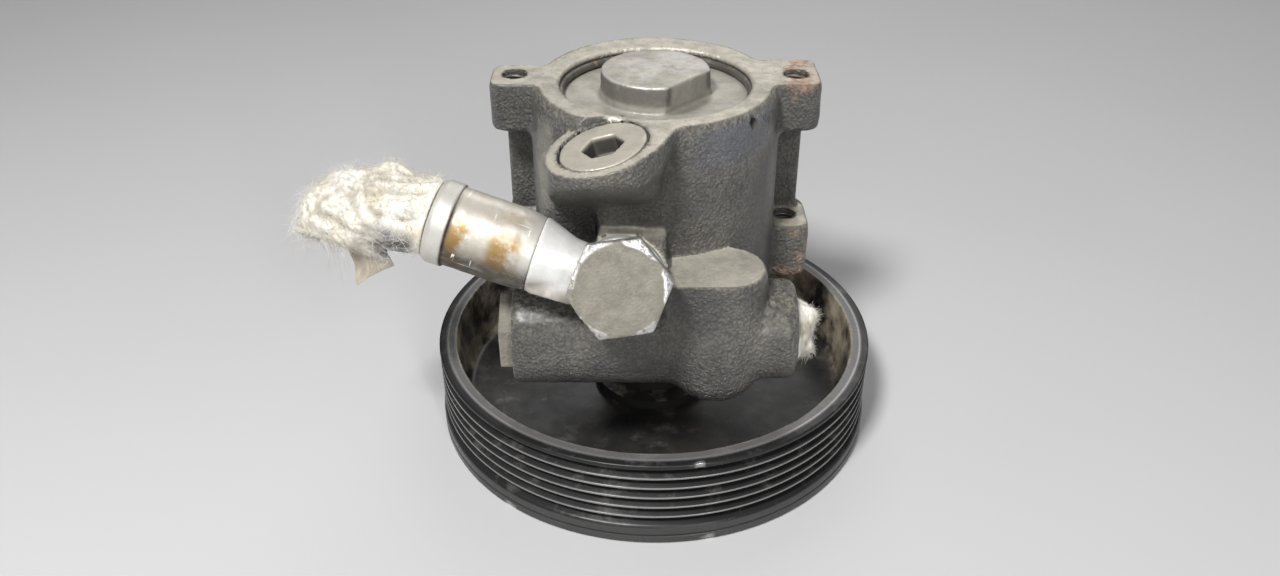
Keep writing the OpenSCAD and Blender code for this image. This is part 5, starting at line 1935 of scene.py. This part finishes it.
def rags() -> list[Rag]:
    """Lists the two rags.

    Returns:
        The outlet's rag and the suction port's.
    """
    fluff = (Fibres(5600, (2.0, 5.0), 0.25, 0.12), Fibres(350, (5.0, 9.0), 0.35, 1.2, 70.0))
    tuft = (Fibres(1300, (1.5, 3.5), 0.2, 0.3),)
    outlet = Rag(
        "outlet_rag", "outlet_rag_wad", hose_frame(), mouth=51.9, seed=11, fold_size=8.5, fold_deep=2.3,
        fibres=fluff, stretch=(1.1, 1.1, 0.8), flap_from=13.0, tint_from=62.0,
        shade_and_soil_zone=Zone(y=((2.5, 7.0),), z=((68.0, 60.0),)),
    )
    suction = Rag(
        "suction_rag", "suction_rag_tuft", valve_frame(), mouth=39.6, seed=23, fold_size=4.2, fold_deep=1.6,
        fibres=tuft, stretch=(0.45, 1.5, 0.6), tint=0.85,
    )
    return [outlet, suction]


# Stage


@dataclass(frozen=True)
class Lamp:
    """A soft studio lamp; places in metres."""

    name: str
    place: Point
    aim: Point
    size: tuple[float, float]
    power: float

    def build(self) -> None:
        """Builds the lamp."""
        data = bpy.data.lights.new(self.name, "AREA")
        data.shape = "RECTANGLE"
        data.size, data.size_y = self.size
        data.energy = self.power
        lamp = bpy.data.objects.new(self.name, data)
        lamp.location = self.place
        way = Vector(self.aim) - Vector(self.place)
        lamp.rotation_euler = way.to_track_quat("-Z", "Y").to_euler()
        bpy.context.scene.collection.objects.link(lamp)


@dataclass
class Studio:
    """Floor, lamps, world and camera; places in metres."""

    camera_place: Point = (-0.00444, -0.2846, 0.2233)
    camera_pitch: float = 32.44
    focal_pixels: float = 1050.0
    sensor: float = 36.0
    floor_half: float = 3.0
    floor_colour: Colour = (0.46, 0.46, 0.46)
    world_strength: float = 0.17

    def floor(self) -> None:
        """Builds the plain pale floor."""
        half = self.floor_half
        verts = np.array([(-half, -half, 0), (half, -half, 0), (half, half, 0), (-half, half, 0)])
        piece = new_piece("floor", verts, [(0, 1, 2, 3)])
        material = bpy.data.materials.new("floor_pale")
        material.use_nodes = True
        graph = Graph(material.node_tree)
        shader = material.node_tree.nodes["Principled BSDF"]
        shader.inputs["Roughness"].default_value = 0.75
        tone = graph.span(graph.noise(6.0, 2.0, 0.5), 0.2, 0.8)
        darker = tuple(0.97 * c for c in self.floor_colour)
        graph.put(shader.inputs["Base Color"], graph.mix(tone, self.floor_colour, darker))
        piece.data.materials.append(material)

    def world(self) -> None:
        """Sets the even light of the room, white where the camera sees it."""
        world = bpy.data.worlds.new("room")
        world.use_nodes = True
        bpy.context.scene.world = world
        graph = Graph(world.node_tree)
        ground = world.node_tree.nodes["Background"]
        ground.inputs["Color"].default_value = (1.0, 1.0, 1.0, 1.0)
        seen = graph.node("ShaderNodeLightPath").outputs["Is Camera Ray"]
        graph.put(ground.inputs["Strength"], graph.span(seen, 0.0, 1.0, (self.world_strength, 1.0)))

    def camera(self) -> None:
        """Sets the camera where the photograph was taken from."""
        data = bpy.data.cameras.new("camera")
        data.sensor_fit = "HORIZONTAL"
        data.sensor_width = self.sensor
        data.lens = self.focal_pixels / PHOTO_WIDTH * self.sensor
        data.clip_start = 0.01
        camera = bpy.data.objects.new("camera", data)
        camera.location = self.camera_place
        camera.rotation_euler = (math.radians(90 - self.camera_pitch), 0, 0)
        bpy.context.scene.collection.objects.link(camera)
        bpy.context.scene.camera = camera

    def build(self) -> None:
        """Builds the whole stage."""
        middle = (0.0, 0.0, 0.06)
        lamps = (
            Lamp("key", (-0.26, -0.5, 0.82), middle, (0.16, 0.16), 11.8),
            Lamp("front", (-0.1, -1.0, 0.45), middle, (0.8, 0.4), 1.4),
            Lamp("front_strip", (0.3, -0.83, 0.5), middle, (0.07, 0.4), 3.2),
            Lamp("back", (0.2, 0.7, 0.7), middle, (0.8, 0.5), 2.4),
        )
        for lamp in lamps:
            lamp.build()
        self.floor()
        self.world()
        self.camera()
        bpy.context.scene.view_settings.view_transform = "Standard"


def dress_solids(paints: Paintbox) -> None:
    """Gives every solid the material of its record slot.

    Args:
        paints: The materials.
    """
    slots = {row["node"]: row["material_slot"] for row in frame["record"]["subparts"]}
    for name, solid in frame["nodes"].items():
        paints.dress_solid(solid, slots[name])


def main() -> None:
    """Builds the stage and every piece of the pump in order."""
    logging.basicConfig(level=logging.INFO, format="%(name)s %(message)s")
    Studio().build()
    paints = Paintbox()
    dress_solids(paints)
    for assembly in (Housing(), Pulley(), Outlet(), TopPieces(), *rags()):
        assembly.dress(paints)


if __name__ == "__main__":
    main()
